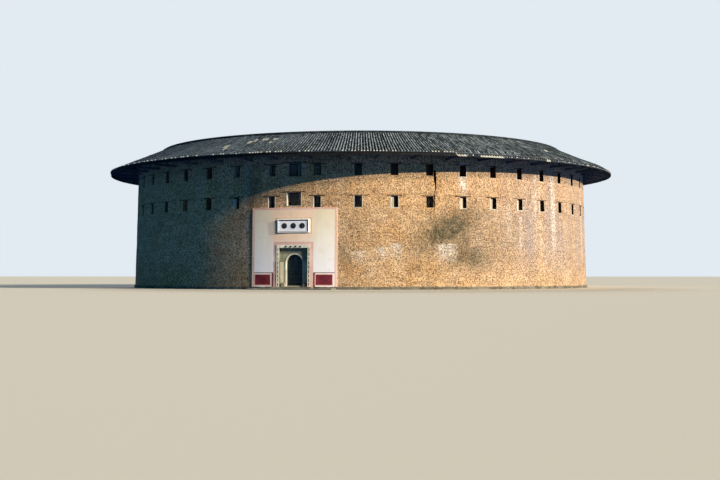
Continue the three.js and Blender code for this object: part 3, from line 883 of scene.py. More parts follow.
# Window timber: lintel boards at the heads, a near-black frame and bars set deep as painted shade in the
# openings, and rims of lime
windowTimber = {
    "lintelHeight": 0.08,
    "lintelDepth": 0.22,
    "lintelReach": 0.6,
    "frameSet": 1.0,
    "shutterReach": 38.0,
    "shutterSet": 0.1,
    "frame": 0.07,
    "bar": 0.04,
    "bars": 5,
    "leafSet": 0.13,
    "leafDrop": 0.14,
    "leaves": {2: 0.42, 4: 0.52, 5: 0.46, 6: 0.42, 7: 0.2, 8: 0.2, 9: 0.3},
    "openBays": (1, 3),
    "shutFrom": 135.0,
    "otherShare": 0.6,
    "paleBars": [  # angle, low and high, uprights, rails
        (0.0, 11.94, 13.4, [0.42, 0.7], [12.2, 12.55, 12.9, 13.2]),
        (5.1, 12.02, 13.24, [-0.22, 0.1], [12.45, 12.9]),
    ],
}


def everyWindow():
    found = []
    for sill in windows["sills"]:
        angles = [*bayCentres, -windows["gateAngle"], windows["gateAngle"]]
        found += [(angle, windows["width"], sill, windows["height"]) for angle in angles]
    found += [(0.0, windows["wideWidth"], sill, windows["wideHeight"]) for sill in windows["wideSills"]]
    return found


# Level bars across a window, from one step sideways to another
def rails(heap, radius, angle, heights, left, right, width, depth, **look):
    starts, ends = (ringPoint(radius, angle, np.array(heights), side) for side in (left, right))
    timbers(heap, starts, ends, width, depth, **look)


def makeWindowTimber():
    dice = np.random.default_rng(21)
    frames, lintels, rims, leaves = Heap(), Heap(), Heap(), Heap()
    edge, bar = windowTimber["frame"], windowTimber["bar"]
    for number, (angle, width, sill, height) in enumerate(everyWindow()):
        half, head, isWide = width / 2, sill + height, width > 1
        radius = wallRadiusAt(head) - windowTimber["frameSet"]
        jambs = np.array([-half + edge / 2, half - edge / 2])
        posts(frames, radius, angle, sill, head, edge, edge, jambs, seed=number)
        heights = [sill + edge / 2, head - edge / 2]
        rails(frames, radius, angle, heights, -half + edge, half - edge, edge, edge, seed=number + 200)
        across = np.linspace(-half + edge, half - edge, windowTimber["bars"] * (2 if isWide else 1) + 2)[1:-1]
        posts(frames, radius, angle, sill + edge, head - edge, bar, bar, across, seed=number + 400)
        reach = half + windowTimber["lintelReach"] * dice.uniform(0.55, 1.05)
        thick = windowTimber["lintelHeight"] * dice.uniform(0.8, 1.15)
        place = wallRadiusAt(head) - 0.09, angle, head + thick / 2 - 0.01
        rails(lintels, *place, -reach, reach, windowTimber["lintelDepth"], thick, seed=number + 600, rough=0.004)
        # lime rims only where the sun reaches: lower row up to 200 degrees, upper row from 33 to 200; windows in
        # shade go without, so they stay dark: partly painted shade
        limed = angle < 200 if sill < 10 else 33 < angle < 200
        if limed and abs(angle - bayCentres[crack["bay"]]) > 1:
            rimPatch(rims, angle, half, sill, head, dice)
        # pale shutters behind the frames of the front windows: painted light that lifts the dark openings
        if abs(angle) < windowTimber["shutterReach"]:
            edges = np.linspace(-half, half, 5 if isWide else 4)
            place = radius - windowTimber["shutterSet"], angle, sill + 0.01, head - 0.01
            boards = edges[1] - edges[0] - 0.004, 0.03, (edges[1:] + edges[:-1]) / 2
            posts(frames, *place, *boards, finish=2, seed=number + 500)
        bay = 0 if isWide else number % (house["bays"] + 2) + 1
        if not 0 < bay <= house["bays"] or bay in windowTimber["openBays"]:
            continue
        opening = leaves, angle, half, sill, head, number
        share = windowTimber["leaves"].get(bay)
        if abs(turnFrom(angle, 0)) > windowTimber["shutFrom"] and sill > 10:
            windowLeaf(*opening, 0.5)
            windowLeaf(*opening, 0.5, side=1)
        elif sill < 10 and share or bay > 9 and dice.random() < windowTimber["otherShare"]:
            # leaves on the shaded left front, 200 to 345 degrees, take the darker aged timber: painted shade
            windowLeaf(*opening, share or 0.45, finish=int(200 < angle < 345))
    for angle, low, high, uprights, heights in windowTimber["paleBars"]:
        radius = wallRadiusAt(high) - 0.3
        place = radius, angle, low + 0.01, high - 0.01
        posts(frames, *place, 0.05, 0.04, np.array(uprights), finish=1, seed=31)
        ends = uprights[0] - 0.08, uprights[1] + 0.08
        rails(frames, radius, angle, heights, *ends, 0.04, 0.05, finish=1, seed=32)
    makePiece("windowFrames", frames, [shadeBlackTimber, paleBoards, shutterBoards])
    makePiece("windowLeaves", leaves, [paleBoards, agedTimber])
    makePiece("windowLintels", lintels, [agedTimber])
    makePiece("windowRims", rims, [limewash])


# A shut leaf of three boards on two ledges, over a share of the opening from its left or right
def windowLeaf(heap, angle, half, sill, head, number, share, side=-1, finish=0):
    radius = wallRadiusAt(head) - windowTimber["leafSet"]
    edges = np.sort(side * np.linspace(half - 0.005, half - 2 * half * share, 4))
    top = head - (windowTimber["leafDrop"] if side < 0 and share != 0.5 else 0.01)
    boards = edges[1] - edges[0] - 0.006, 0.03, (edges[1:] + edges[:-1]) / 2
    posts(heap, radius, angle, sill + 0.01, top, *boards, finish=finish, seed=number + 800, rough=0.002)
    for height in (sill + 0.25, head - 0.25):
        ends = edges[0], edges[-1]
        rails(heap, radius - 0.03, angle, height, *ends, 0.04, 0.08, finish=finish, seed=number + 900)


# A ragged rim of lime: widest on the left, then below and on the right
def rimPatch(heap, angle, half, sill, head, dice):
    strength = dice.uniform(0.35, 1.0)
    count = 7
    for side, width in ((-1, 0.13), (1, 0.06)):
        heights = np.linspace(sill - 0.06, head + 0.02, count)
        reach = width * strength * dice.uniform(0.5, 1.2, count)
        near = ringPoint(wallRadiusAt(heights) + 0.016, angle, heights, side * (half - 0.004))
        far = ringPoint(wallRadiusAt(heights) + 0.003, angle, heights, side * (half + reach))
        heap.add(np.stack([near, far]), gridFaces(2, count, flip=side > 0))
    across = np.linspace(-half - 0.05, half + 0.04, count)
    drop = 0.12 * strength * dice.uniform(0.4, 1.2, count)
    top = ringPoint(wallRadiusAt(sill) + 0.016, angle, sill + 0.004, across)
    low = ringPoint(wallRadiusAt(sill) + 0.003, angle, sill - drop, across)
    heap.add(np.stack([low, top]), gridFaces(2, count))


makeWindowTimber()
print("windows made")


# Blocks laid round the ring between two radii and two heights, with open joints
def ringBlocks(heap, inner, outer, bottom, top, count, joint=0.012, rough=0.0, finish=0, seed=1, start=0.0):
    dice = np.random.default_rng(seed)
    step = 360 / count
    first = start + step * np.arange(count)
    half = np.degrees(joint / 2 / outer)
    outline = section(inner, outer, bottom, top)
    sides = (first + half, first + step - half)
    corners = np.stack([ringPoint(radius, side, height) for side in sides for radius, height in outline], axis=1)
    corners += dice.uniform(-rough, rough, corners.shape)
    faces = np.arange(count)[:, None, None] * 8 + np.array(boxFaces)
    heap.add(corners, faces, np.repeat(dice.uniform(0, 1, count), 6), finish)


# A block between two corners, which may be given in any order
def block(heap, corner, other, **look):
    low, high = np.sort([corner, other], axis=0).astype(float)
    middle = (low + high) / 2
    ends = [(x, middle[1], middle[2]) for x in (low[0], high[0])]
    timbers(heap, *ends, high[1] - low[1], high[2] - low[2], **look)


# A turned shape on an axis towards the viewer in front of the gate: [radius, reach] pairs, rim first
def turned(heap, centre, profile, sides=20, finish=0, tint=0.5):
    turn = 2 * math.pi * np.arange(sides) / sides
    radius, reach = np.array(profile, float).T
    x = centre[0] + radius[:, None] * np.sin(turn)
    z = centre[2] + radius[:, None] * np.cos(turn)
    y = centre[1] - np.repeat(reach[:, None], sides, axis=1)
    faces = gridFaces(len(profile), sides, ring=True, flip=True)
    first = heap.add(np.stack([x, y, z], axis=-1), faces, tint, finish)
    heap.face(first, [np.arange(sides)[::-1] + (len(profile) - 1) * sides], tint, finish)


# The roof tiles
tiles = {
    "outer": {"eave": 31.68, "columns": 620, "courses": 23, "pieces": 4, "node": "roof_outer_slope"},
    "yard": {"eave": 19.0, "columns": 480, "courses": 22, "pieces": 2, "node": "roof_courtyard_slope"},
    "foot": 0.085,
    "shoulder": 0.05,
    "hump": 0.078,
    "riser": 0.032,
    "bed": 0.05,
    "sag": 0.05,
    "swell": 0.022,
    "thickness": 0.06,
    "slippedShare": 0.012,
    "plugShare": 0.42,
    "plugShareInDip": 0.22,
    "sideLightShift": 0.36,
    "sideLightShiftAt": ([15, 50, 110, 150, 270, 310, 350], [0, 1, 1, 0, 0, -1, 0]),
    "runsAt": [20, 40, 120, 140],
}
mortar = {
    "patches": [  # angle, radius, reach in degrees
        (-11.2, 27.7, 0.5), (-10.4, 27.2, 0.5), (-8.4, 27.0, 0.9), (-5.7, 27.0, 0.5), (-6.0, 28.1, 0.3),
        (-15.9, 28.9, 0.4), (-15.3, 29.7, 0.3), (62.0, 28.4, 0.5), (118.0, 27.5, 0.8), (-78.0, 28.0, 0.6),
    ],
    "eave": [(32.2, 34.4), (37.2, 42.6), (53.9, 54.7), (121.0, 124.0), (211.0, 213.5), (286.0, 287.0)],
}
eaveDip = {"spans": [32.4, 32.9, 104.0, 128.0], "reach": 0.85, "drop": 0.27}


# Past a step to the right of the gate the last courses hang lower
def dipAt(radius, angle):
    outward = np.clip((radius - house["eaveRadius"] + eaveDip["reach"]) / eaveDip["reach"], 0, 1)
    return eaveDip["drop"] * risingShare(angle, eaveDip["spans"]) * outward ** 1.4


def tileHeight(radius, angle, share):
    sag = tiles["sag"] * np.sin(math.pi * share)
    swell = tiles["swell"] * ringNoise(angle, radius, 4.5, 2.6, 31)
    return roofTopAt(radius) - tiles["bed"] - sag + swell - dipAt(radius, angle)


def makeSlope(name, slope):
    dice = np.random.default_rng(len(name))
    eave, columns, courses = slope["eave"], slope["columns"], slope["courses"]
    isOuter = eave > house["ridgeRadius"]
    share = np.linspace(0, 1, courses + 1)
    share = np.stack([share[:-1], share[1:]], axis=1).ravel()
    course = np.repeat(np.arange(courses), 2)
    radius = (eave + (house["ridgeRadius"] - eave) * share)[:, None]
    lifted = np.where(np.arange(2 * courses) % 2 == 0, tiles["riser"], 0.0)[:, None]
    around = np.arange(columns) * 360 / columns
    centre = np.tile(around, (courses, 1))
    centre += np.degrees(dice.normal(0, 0.011, centre.shape) / 25)
    tip = dice.normal(0, 0.007, centre.shape)
    slipped = dice.random(centre.shape) < tiles["slippedShare"]
    tip += slipped * dice.uniform(0.01, 0.04, centre.shape)
    offsets = np.array([-tiles["foot"], -tiles["shoulder"], tiles["shoulder"], tiles["foot"]])
    humps = np.array([0, tiles["hump"], tiles["hump"], 0])
    angle = centre[course][:, :, None] + np.degrees(offsets / radius[:, :, None])
    height = tileHeight(radius[:, :, None], angle, share[:, None, None])
    height = height + lifted[:, :, None] + humps + tip[course][:, :, None] * (humps > 0)
    angle = angle.reshape(len(radius), -1)
    height = height.reshape(len(radius), -1)
    angle = np.hstack([angle, angle[:, :1] + 360])
    height = np.hstack([height, height[:, :1]])
    shades = tileShades(dice, centre, ringNoise(around, share[::2, None] * 6.5, 5.0, 2.2, 33))
    looks = np.zeros(shades.shape, int)
    limed = np.zeros(columns, bool)
    if isOuter:
        for patchAngle, patchRadius, reach in mortar["patches"]:
            near = np.abs(turnFrom(centre[0], patchAngle)) < reach
            atCourse = abs(radius[:-1, 0] - patchRadius) < 0.32
            looks[atCourse] |= np.repeat(near, 4) * np.tile([1, 1, 1, 0], columns)
        for low, high in mortar["eave"]:
            limed |= (centre[0] > low) & (centre[0] < high)
    looks[0] |= np.repeat(limed, 4)
    inDip = (centre[0] > eaveDip["spans"][0]) & (centre[0] < eaveDip["spans"][2])
    plugged = (dice.random(columns) < np.where(inDip, tiles["plugShareInDip"], tiles["plugShare"])) | limed
    size = columns // slope["pieces"]
    for piece in range(slope["pieces"]):
        heap = Heap()
        span = slice(piece * size * 4, (piece + 1) * size * 4 + 1)
        inside = slice(span.start, span.stop - 1)
        grid = ringPoint(radius, angle[:, span], height[:, span])
        faces = gridFaces(len(radius), grid.shape[1], flip=not isOuter)
        heap.add(grid, faces, shades[:, inside], looks[:, inside])
        plugs = plugged[piece * size:(piece + 1) * size]
        closeEave(heap, dice, slope, grid[0], angle[0, span], plugs, np.repeat(limed, 4)[inside])
        finishes = [roofTile, limeMortar]
        makePiece(f"{name}Tiles{piece + 1}", heap, finishes, [slope["node"]], crease=78)


# A shade for each strip of each tile: its own, with sooty stretches and runs of alike tiles down the slope; the
# pans near black and the cover sides and risers at half are painted shade
def tileShades(dice, centre, sooty):
    courses, columns = centre.shape
    # covers darker on the sunlit right and, where negative, lighter on the shaded left: painted shade and
    # painted light
    sideLightShift = tiles["sideLightShift"] * np.interp(np.mod(centre[0], 360), *tiles["sideLightShiftAt"])
    covers = dice.normal(0.84, 0.13, centre.shape) + dice.normal(0, 0.08, columns) + 0.12 * sooty
    runs = np.repeat(dice.normal(0, 1, (courses // 3 + 1, columns)), 3, axis=0)[:courses]
    covers += runs * (0.09 + 0.13 * risingShare(centre[0], tiles["runsAt"]))
    covers = np.clip(covers - sideLightShift, 0, 1)
    # pans near black, cover sides and risers at half: painted shade between and under the tiles
    pans = np.clip(dice.normal(0.01, 0.03, centre.shape) + 0.02 * sooty, 0, 1)
    perTile = np.stack([covers * 0.5, covers, covers * 0.5, pans], axis=2).reshape(courses, -1)
    shades = np.repeat(perTile, 2, axis=0)
    shades[1::2] *= 0.5
    return shades[:-1]


# The edge of the eave: the first course's thickness, lime lips and a plug in the mouth of each cover tile
def closeEave(heap, dice, slope, edge, angles, plugged, limed):
    size = len(plugged)
    isOuter = slope["eave"] > house["ridgeRadius"]
    sense = 1 if isOuter else -1
    drop = edge.copy()
    drop[:, 2] = roofTopAt(slope["eave"]) - tiles["bed"] - tiles["thickness"] - dipAt(slope["eave"], angles)
    heap.add(np.stack([drop, edge]), gridFaces(2, len(edge), flip=not isOuter), 0.16, limed.astype(int))
    kept = plugged & isOuter
    rim = edge[:-1].reshape(size, 4, 3)[kept]
    outward = ringPoint(sense, angles[:-1], 0.0).reshape(size, 4, 3)[kept]
    lift = np.array([0, 0.02, 0.02, 0])[:, None] * (0, 0, 1)
    outside, inside = rim + 0.03 * outward + lift, rim - 0.05 * outward + lift + (0, 0, 0.05 * pitch)
    lips = np.concatenate([outside, inside], axis=1)
    lipFaces = np.array([[0, 1, 5, 4], [1, 2, 6, 5], [2, 3, 7, 6], [0, 3, 2, 1]])
    heap.add(lips, np.arange(len(lips))[:, None, None] * 8 + lipFaces, dice.uniform(0.6, 1, 4 * len(lips)), 1)
    ends = np.arange(size)[:, None] * 4 + np.arange(4)
    mouths = edge + ringPoint(0.012 * sense, angles, 0.0)
    heap.add(mouths, ends if isOuter else ends[:, ::-1], dice.uniform(0.3, 1, size), plugged.astype(int))


# Ridge: a mortared band with a row of lapped cap tiles on it
ridge = {"caps": 420, "capRadius": 0.14, "bandHalf": 0.25, "bandTop": 0.06, "bandFoot": 0.2, "lap": 0.02}


def makeRidge():
    heap = Heap()
    middle, top, half = house["ridgeRadius"], house["ridgeTop"], ridge["bandHalf"]
    dice = np.random.default_rng(41)
    low, high = top - ridge["bandFoot"], top + ridge["bandTop"]
    foot = half + 0.06
    band = [(middle - foot, low), (middle + foot, low), (middle + half, high), (middle - half, high)]
    ringBar(heap, band, 360, tints=dice.uniform(0.02, 0.25, 360), rough=0.006, seed=42)
    angles = np.repeat(np.arange(ridge["caps"]) * 360 / ridge["caps"], 2)
    angles[1::2] += 360 / ridge["caps"]
    grown = np.where(np.arange(len(angles)) % 2 == 0, ridge["lap"], 0.0)
    turn = np.radians(np.linspace(0, 180, 7))[:, None]
    size = ridge["capRadius"] + grown
    corners = ringPoint(middle + size * np.cos(turn), angles, high - 0.02 + size * np.sin(turn))
    shades = np.repeat(dice.uniform(0.02, 0.3, ridge["caps"]), 2)
    heap.add(corners, gridFaces(7, len(angles), ring=True), np.tile(shades, 6))
    makePiece("ridgeTiles", heap, [roofTile], ["ridge_cap"], crease=60)


# Timber under the tiles: boards, rafters, purlins and the outriggers of the eave
underRoof = {
    "boardDrop": 0.11,
    "boardWidth": 0.24,
    "boardSteps": 230,
    "rafterDrop": 0.13,
    "rafter": (0.09, 0.16),
    "outerRafters": 320,
    "yardRafters": 240,
    "fascia": (0.05, 0.3),
    "purlinRadius": 0.11,
    "outerPurlins": [30.85, 29.4],
    "innerPurlins": [27.0, 23.8, 22.2],
    "outriggerBottom": 13.72,
    "outriggerTop": 13.96,
    "outriggerHeel": 27.6,
    "tieEnd": 27.35,
    "kingTop": 16.305,
    "beams": [  # radius, height, width, depth and first seed: ridge beam, wall plate, eave beam
        (25.2, 16.222, 0.38, 0.33, 66), (27.75, 15.16, 0.4, 0.3, 166), (20.3, 14.06, 0.3, 0.22, 266),
    ],
}


def makeSoffit():
    heap = Heap()
    steps = underRoof["boardSteps"]
    for eave, sense, seed in ((house["eaveRadius"], -1, 51), (house["yardEaveRadius"], 1, 52)):
        count = round(abs(eave - house["ridgeRadius"]) / underRoof["boardWidth"])
        radius = np.linspace(eave + 0.01 * sense, house["ridgeRadius"], count + 1)[:, None]
        angles = np.arange(steps) * 360 / steps
        corners = ringPoint(radius, angles, roofTopAt(radius) - underRoof["boardDrop"])
        along = np.radians(angles) * 28
        grain = np.stack(np.broadcast_arrays(along[None, :], radius, 0.0), axis=-1)
        lengths = np.random.default_rng(seed).uniform(0, 1, (count, steps // 10))
        faces = gridFaces(count + 1, steps, ring=True, flip=sense < 0)
        heap.add(corners, faces, np.repeat(lengths, 10, axis=1), 0, grain)
    makePiece("soffitBoards", heap, [soffitBoards])


def makeRafters():
    heap = Heap()
    width, depth = underRoof["rafter"]
    drop = underRoof["rafterDrop"]
    slopes = (
        (house["eaveRadius"] - 0.12, house["ridgeRadius"] + 0.03, underRoof["outerRafters"], 53),
        (house["yardEaveRadius"] + 0.12, house["ridgeRadius"] - 0.03, underRoof["yardRafters"], 54),
    )
    for eave, inner, count, seed in slopes:
        angles = (np.arange(count) + 0.5) * 360 / count
        ends = [ringPoint(radius, angles, roofTopAt(radius) - drop - depth / 2) for radius in (eave, inner)]
        timbers(heap, *ends, width, depth, seed=seed, rough=0.004)
    # the fascia takes the near-black timber: painted shade under the tile edge
    thick, tall = underRoof["fascia"]
    for eave in (house["eaveRadius"] - 0.08, house["yardEaveRadius"] + 0.08):
        top = roofTopAt(eave) - underRoof["boardDrop"]
        outline = section(eave - thick / 2, eave + thick / 2, top - tall, top)
        ringBar(heap, outline, underRoof["boardSteps"], finish=1, seed=55)
    makePiece("rafters", heap, [soffitBoards, shadeBlackTimber])


def underRafters(radius):
    return float(roofTopAt(radius)) - underRoof["rafterDrop"] - underRoof["rafter"][1]


def makePurlins():
    heap = Heap()
    thick = underRoof["purlinRadius"]
    angles = np.arange(93) * 360 / 92
    for radius in underRoof["outerPurlins"] + underRoof["innerPurlins"]:
        joints = ringPoint(radius, angles, underRafters(radius) - thick + 0.02)
        logs(heap, joints[:-1], joints[1:], thick, seed=round(radius * 10))
    bottom, top = underRoof["outriggerBottom"], underRoof["outriggerTop"]
    reach = underRoof["outriggerHeel"], underRoof["outerPurlins"][0] + 0.25
    spokes(heap, *reach, postLines, (bottom + top) / 2, 0.17, top - bottom, seed=61, rough=0.006)
    for radius in underRoof["outerPurlins"][::-1]:
        seat = underRafters(radius) - 2 * thick + 0.03
        if seat > top:
            posts(heap, radius, postLines, top - 0.01, seat, 0.14, 0.14, seed=62)
    makePiece("purlinLogs", heap, [soffitBoards])


def makeRoofFrames():
    heap = Heap()
    low, high = house["tieBottom"], house["tieBottom"] + house["tieDepth"]
    reach = house["postFront"] - 0.5, underRoof["tieEnd"]
    spokes(heap, *reach, postLines, (low + high) / 2, 0.24, high - low, seed=63, rough=0.006)
    kingPost = high - 0.02, underRoof["kingTop"]
    posts(heap, house["ridgeRadius"], postLines, *kingPost, 0.24, 0.24, seed=64, rough=0.004)
    for radius in underRoof["innerPurlins"]:
        seat = underRafters(radius) - 2 * underRoof["purlinRadius"] + 0.03
        posts(heap, radius, postLines, high - 0.01, seat, 0.18, 0.18, seed=65)
    lines = np.sort(np.append(postLines[1:-1], [-house["gatePost"], 0, 350]))
    for i, (line, beyond) in enumerate(zip(lines, np.append(lines[1:], 360 - house["gatePost"]))):
        for radius, height, width, depth, seed in underRoof["beams"]:
            chords(heap, radius, line, beyond, height, width, depth, seed=seed + i)
    frames = [f"roof_frame_{i:02d}" for i in range(1, 6)]
    makePiece("roofFrames", heap, [agedTimber], [*frames, "wall_plate", "courtyard_eave_purlin"])


for slopeName in ("outer", "yard"):
    makeSlope(slopeName, tiles[slopeName])
makeRidge()
makeSoffit()
makeRafters()
makePurlins()
makeRoofFrames()
print("roof made")


# Galleries towards the courtyard
gallery = {
    "girtDepth": 0.3,
    "boardWidth": 0.2,
    "boardDepth": 0.04,
    "joist": (0.12, 0.17),
    "joists": 230,
    "parapet": 0.95,
    "parapetBoard": 0.17,
    "deckEdge": 20.49,
    "friezeBoard": 0.2,
    "friezeDrop": 0.6,
}
ground = {"bed": (19.64, 26.7), "kerb": (19.6, 20.0), "paving": (20.01, 26.7), "rows": 7, "thickness": 0.1}
footing = {"bed": (26.71, 28.62), "outside": (28.2, 28.71), "inside": (26.7, 27.2), "top": 0.29}


def makeGalleryPosts():
    heap = Heap()
    middle = (house["postFront"] + house["postBack"]) / 2
    posts(heap, middle, postLines, house["groundTop"] + 0.2, house["tieBottom"], 0.3, 0.3, seed=71, rough=0.006)
    levels = [top - house["deckDepth"] for top in house["deckTops"]] + [house["tieBottom"]]
    lines = np.sort(np.append(postLines[:-1], [360 - house["gatePost"], 350]))
    lines = np.unique(np.round(lines, 6))
    depth = gallery["girtDepth"]
    for i, level in enumerate(levels):
        place = middle + 0.05, lines[:-1], lines[1:], level - depth / 2
        chords(heap, *place, 0.26, depth, seed=72 + i, rough=0.005)
        ends = house["postFront"] - 0.22, house["postBack"] + 0.45
        spokes(heap, *ends, postLines, level - depth - 0.1, 0.2, 0.18, seed=92 + i)
    names = [f"gallery_{i:02d}" for i in range(1, 6)] + ["gallery_gate"]
    makePiece("galleryTimber", heap, [agedTimber], names)
    makeFrieze(middle)
    bases = Heap()
    low, high = house["groundTop"] - 0.02, house["groundTop"] + 0.22
    posts(bases, middle, postLines, low, high, 0.46, 0.46, seed=76, rough=0.008)
    makePiece("postBases", bases, [gateStone])


# Boards that close the gap between the tie beams, and a hanging row of boards under the top beam
def makeFrieze(radius):
    heap = Heap()
    width = gallery["friezeBoard"]
    count = round(2 * math.pi * radius / width)
    angles = np.arange(count) * 360 / count
    tie, girt = house["tieBottom"], house["tieBottom"] - gallery["girtDepth"]
    foot = girt - gallery["friezeDrop"]
    for low, high, seed in ((tie - 0.02, tie + 0.42, 97), (foot, girt + 0.03, 98)):
        posts(heap, radius, angles, low, high, width + 0.02, 0.025, seed=seed, rough=0.002)
    ringBar(heap, section(radius - 0.03, radius + 0.03, foot - 0.03, foot + 0.03), 92, seed=99)
    makePiece("galleryFrieze", heap, [soffitBoards])


def makeDecks():
    width, depth = gallery["joist"]
    angles = (np.arange(gallery["joists"]) + 0.5) * 360 / gallery["joists"]
    for i, top in enumerate(house["deckTops"]):
        boards, joists = Heap(), Heap()
        bottom = top - gallery["boardDepth"]
        wallSide = house["wallInner"] + (i + 1) * house["ledge"] + 0.05
        edges = np.linspace(gallery["deckEdge"] - 0.02, wallSide, round(6.5 / gallery["boardWidth"]) + 1)
        dice = np.random.default_rng(80 + i)
        for j, (near, far) in enumerate(zip(edges, edges[1:])):
            tones = np.roll(np.repeat(dice.uniform(0, 1, 23), 4), j)
            outline = section(near + 0.004, far - 0.004, bottom, top)
            ringBar(boards, outline, 92, tints=tones, seed=300 + 40 * i + j)
        ends = house["postFront"] + 0.1, wallSide + 0.1
        spokes(joists, *ends, angles, bottom - depth / 2, width, depth, seed=83 + i)
        floor = ["second", "third", "fourth"][i] + "_floor"
        makePiece(f"deckBoards{i + 2}", boards, [floorBoards], [floor])
        makePiece(f"deckJoists{i + 2}", joists, [agedTimber], [floor])
        makeParapet(i, top, floor + "_parapet")


def makeParapet(i, top, node):
    heap = Heap()
    radius = gallery["deckEdge"] + 0.03
    width, rise = gallery["parapetBoard"], gallery["parapet"]
    count = round(2 * math.pi * radius / width)
    angles = np.arange(count) * 360 / count
    posts(heap, radius, angles, top + 0.05, top + rise - 0.05, width - 0.008, 0.028, seed=90 + i, rough=0.003)
    for bottom, depth, half in ((top + 0.005, 0.09, 0.04), (top + rise - 0.08, 0.08, 0.06)):
        ringBar(heap, section(radius - half, radius + half, bottom, bottom + depth), 92, seed=95 + i)
    makePiece(f"parapet{i + 2}", heap, [floorBoards], [node])


def makeGround():
    heap = Heap()
    top = house["groundTop"]
    ringBar(heap, section(*ground["bed"], 0, top - 0.015), 184, finish=1, seed=101)
    ringBlocks(heap, *ground["kerb"], 0.0, top + 0.005, 104, rough=0.006, seed=102)
    edges = np.linspace(*ground["paving"], ground["rows"] + 1)
    for i, (near, far) in enumerate(zip(edges + 0.006, edges[1:] - 0.006)):
        look = {"rough": 0.004, "finish": 1, "seed": 103 + i, "start": i * 1.1}
        ringBlocks(heap, near, far, top - ground["thickness"], top, 132 + 6 * i, **look)
    makePiece("groundPaving", heap, [gateStone, pavingStone], ["ground_floor"])
    stones = Heap()
    ringBar(stones, section(*footing["bed"], 0, footing["top"]), 184, seed=111)
    for low, high, count, seed in ((0.0, 0.16, 300, 112), (0.15, 0.31, 320, 113)):
        look = {"joint": 0.03, "rough": 0.022, "seed": seed, "start": seed * 0.7}
        ringBlocks(stones, *footing["outside"], low, high, count, **look)
    ringBlocks(stones, *footing["inside"], 0.05, 0.3, 200, joint=0.02, rough=0.01, seed=114)
    makePiece("footingStones", stones, [rubbleStone], ["stone_footing"])


makeGalleryPosts()
makeDecks()
makeGround()
print("galleries made")


# The gate front: painted fields on the plaster, each with its sides and its foot and top; later ones cover
panel = {
    "proud": 0.1,
    "cell": (0.3, 0.5),
    "peachAcross": [1.9, 2.9],
    "peachUp": [4.4, 5.3],
    "fields": [  # near and far edge, foot, top, and its sides of the middle
        ("wall", 0.0, 2.1, 5.04, 8.42, (-1, 1)),
        ("line", 0.0, 2.0, 5.9, 7.55, (-1, 1)),
        ("wall", 0.0, 1.955, 5.945, 7.505, (-1, 1)),
        ("pink", 0.0, 2.185, 0.3, 5.04, (-1, 1)),
        ("maroon", 2.185, 2.4, 0.3, 1.74, (-1, 1)),
        # a thin maroon band over the red fields: painted shadow of a small moulding
        ("maroon", 2.185, 4.69, 1.74, 1.82, (-1, 1)),
        ("pink", 2.465, 4.415, 0.4, 1.67, (-1,)),
        ("red", 2.565, 4.315, 0.5, 1.57, (-1,)),
        ("pink", 2.355, 4.305, 0.4, 1.67, (1,)),
        ("red", 2.455, 4.205, 0.5, 1.57, (1,)),
        ("pink", 0.0, 4.69, 8.42, 8.62, (-1, 1)),
        ("pink", 4.42, 4.53, 0.3, 8.62, (-1, 1)),
        ("peach", 4.53, 4.69, 0.3, 8.62, (-1, 1)),
    ],
}


def makePlasterWall():
    made = Finish("plasterWall")
    climb = made.spread(made.add("SeparateXYZ", {"Vector": made.place})["Z"], 0.9, 4.1)
    made.shade = made.ramp(climb, [(0.0, (238, 235, 234)), (0.55, (234, 226, 208)), (1.0, (226, 210, 176))])
    blotch = made.plus(made.times(made.patch(1.1, 0.3, 0.7), 0.5), 0.6)
    made.cover(made.mark("peach"), blotch, (238, 204, 172))
    made.cover(made.patch(3.0, 0.5, 0.8, rainStreaks), 0.3, (206, 186, 150))
    made.cover(made.patch(3.0, 0.55, 0.75), 0.22, (200, 172, 130))
    return made.done(0.88, made.noise(made.place, 24.0, 4.0), 0.25, 0.01)


panelFinishes = {
    "wall": makePlasterWall(),
    "pink": pinkWash,
    "peach": peachWash,
    "line": greyLine,
    "red": redPaint,
    "maroon": maroonPaintAndShadow,
}


def cutLines(marks, step):
    marks = sorted(set(marks))
    lines = []
    for low, high in zip(marks, marks[1:]):
        lines += np.linspace(low, high, max(1, round((high - low) / step)), endpoint=False).tolist()
    return np.array([*lines, marks[-1]])


def panelPoint(x, z, proud):
    radius = wallRadiusAt(z) + proud
    return ringPoint(radius, np.degrees(np.arcsin(x / radius)), z)


def makePanel():
    heap = Heap()
    xs, zs = {-gate["half"], gate["half"]}, {gate["top"]}
    for _, near, far, low, high, senses in panel["fields"]:
        xs |= {sense * x for sense in senses for x in (near, far) if x}
        zs |= {low, high}
    xs, zs = cutLines(xs, panel["cell"][0]), cutLines(zs, panel["cell"][1])
    middleX, middleZ = (xs[1:] + xs[:-1]) / 2, (zs[1:] + zs[:-1])[:, None] / 2
    zones = np.zeros((len(zs) - 1, len(xs) - 1), int)
    names = list(panelFinishes)
    for name, near, far, low, high, senses in panel["fields"]:
        for across in (sense * middleX for sense in senses):
            zones[(across >= near) & (across < far) & (middleZ > low) & (middleZ < high)] = names.index(name)
    keep = (np.abs(middleX) > gate["half"]) | (middleZ > gate["top"])
    across = np.interp(np.abs(xs + 0.15), panel["peachAcross"], [1, 0])
    peach = across * np.interp(zs, panel["peachUp"], [0, 1])[:, None]
    corners = panelPoint(xs, zs[:, None], panel["proud"])
    heap.add(corners, gridFaces(len(zs), len(xs))[keep], 0.5, zones[keep], peach=peach)
    overTop = [(x, zs[-1]) for x in xs[::-1]] + [(xs[0], z) for z in zs[::-1][1:]]
    for rim in (overTop, [(xs[-1], z) for z in zs]):
        x, z = np.array(rim).T
        edges = np.stack([panelPoint(x, z, proud) for proud in (panel["proud"], 0.0)])
        heap.add(edges, gridFaces(2, len(rim)), 0.5, names.index("pink"))
    makePiece("gatePlaster", heap, panelFinishes.values(), ["plaster_panel"])


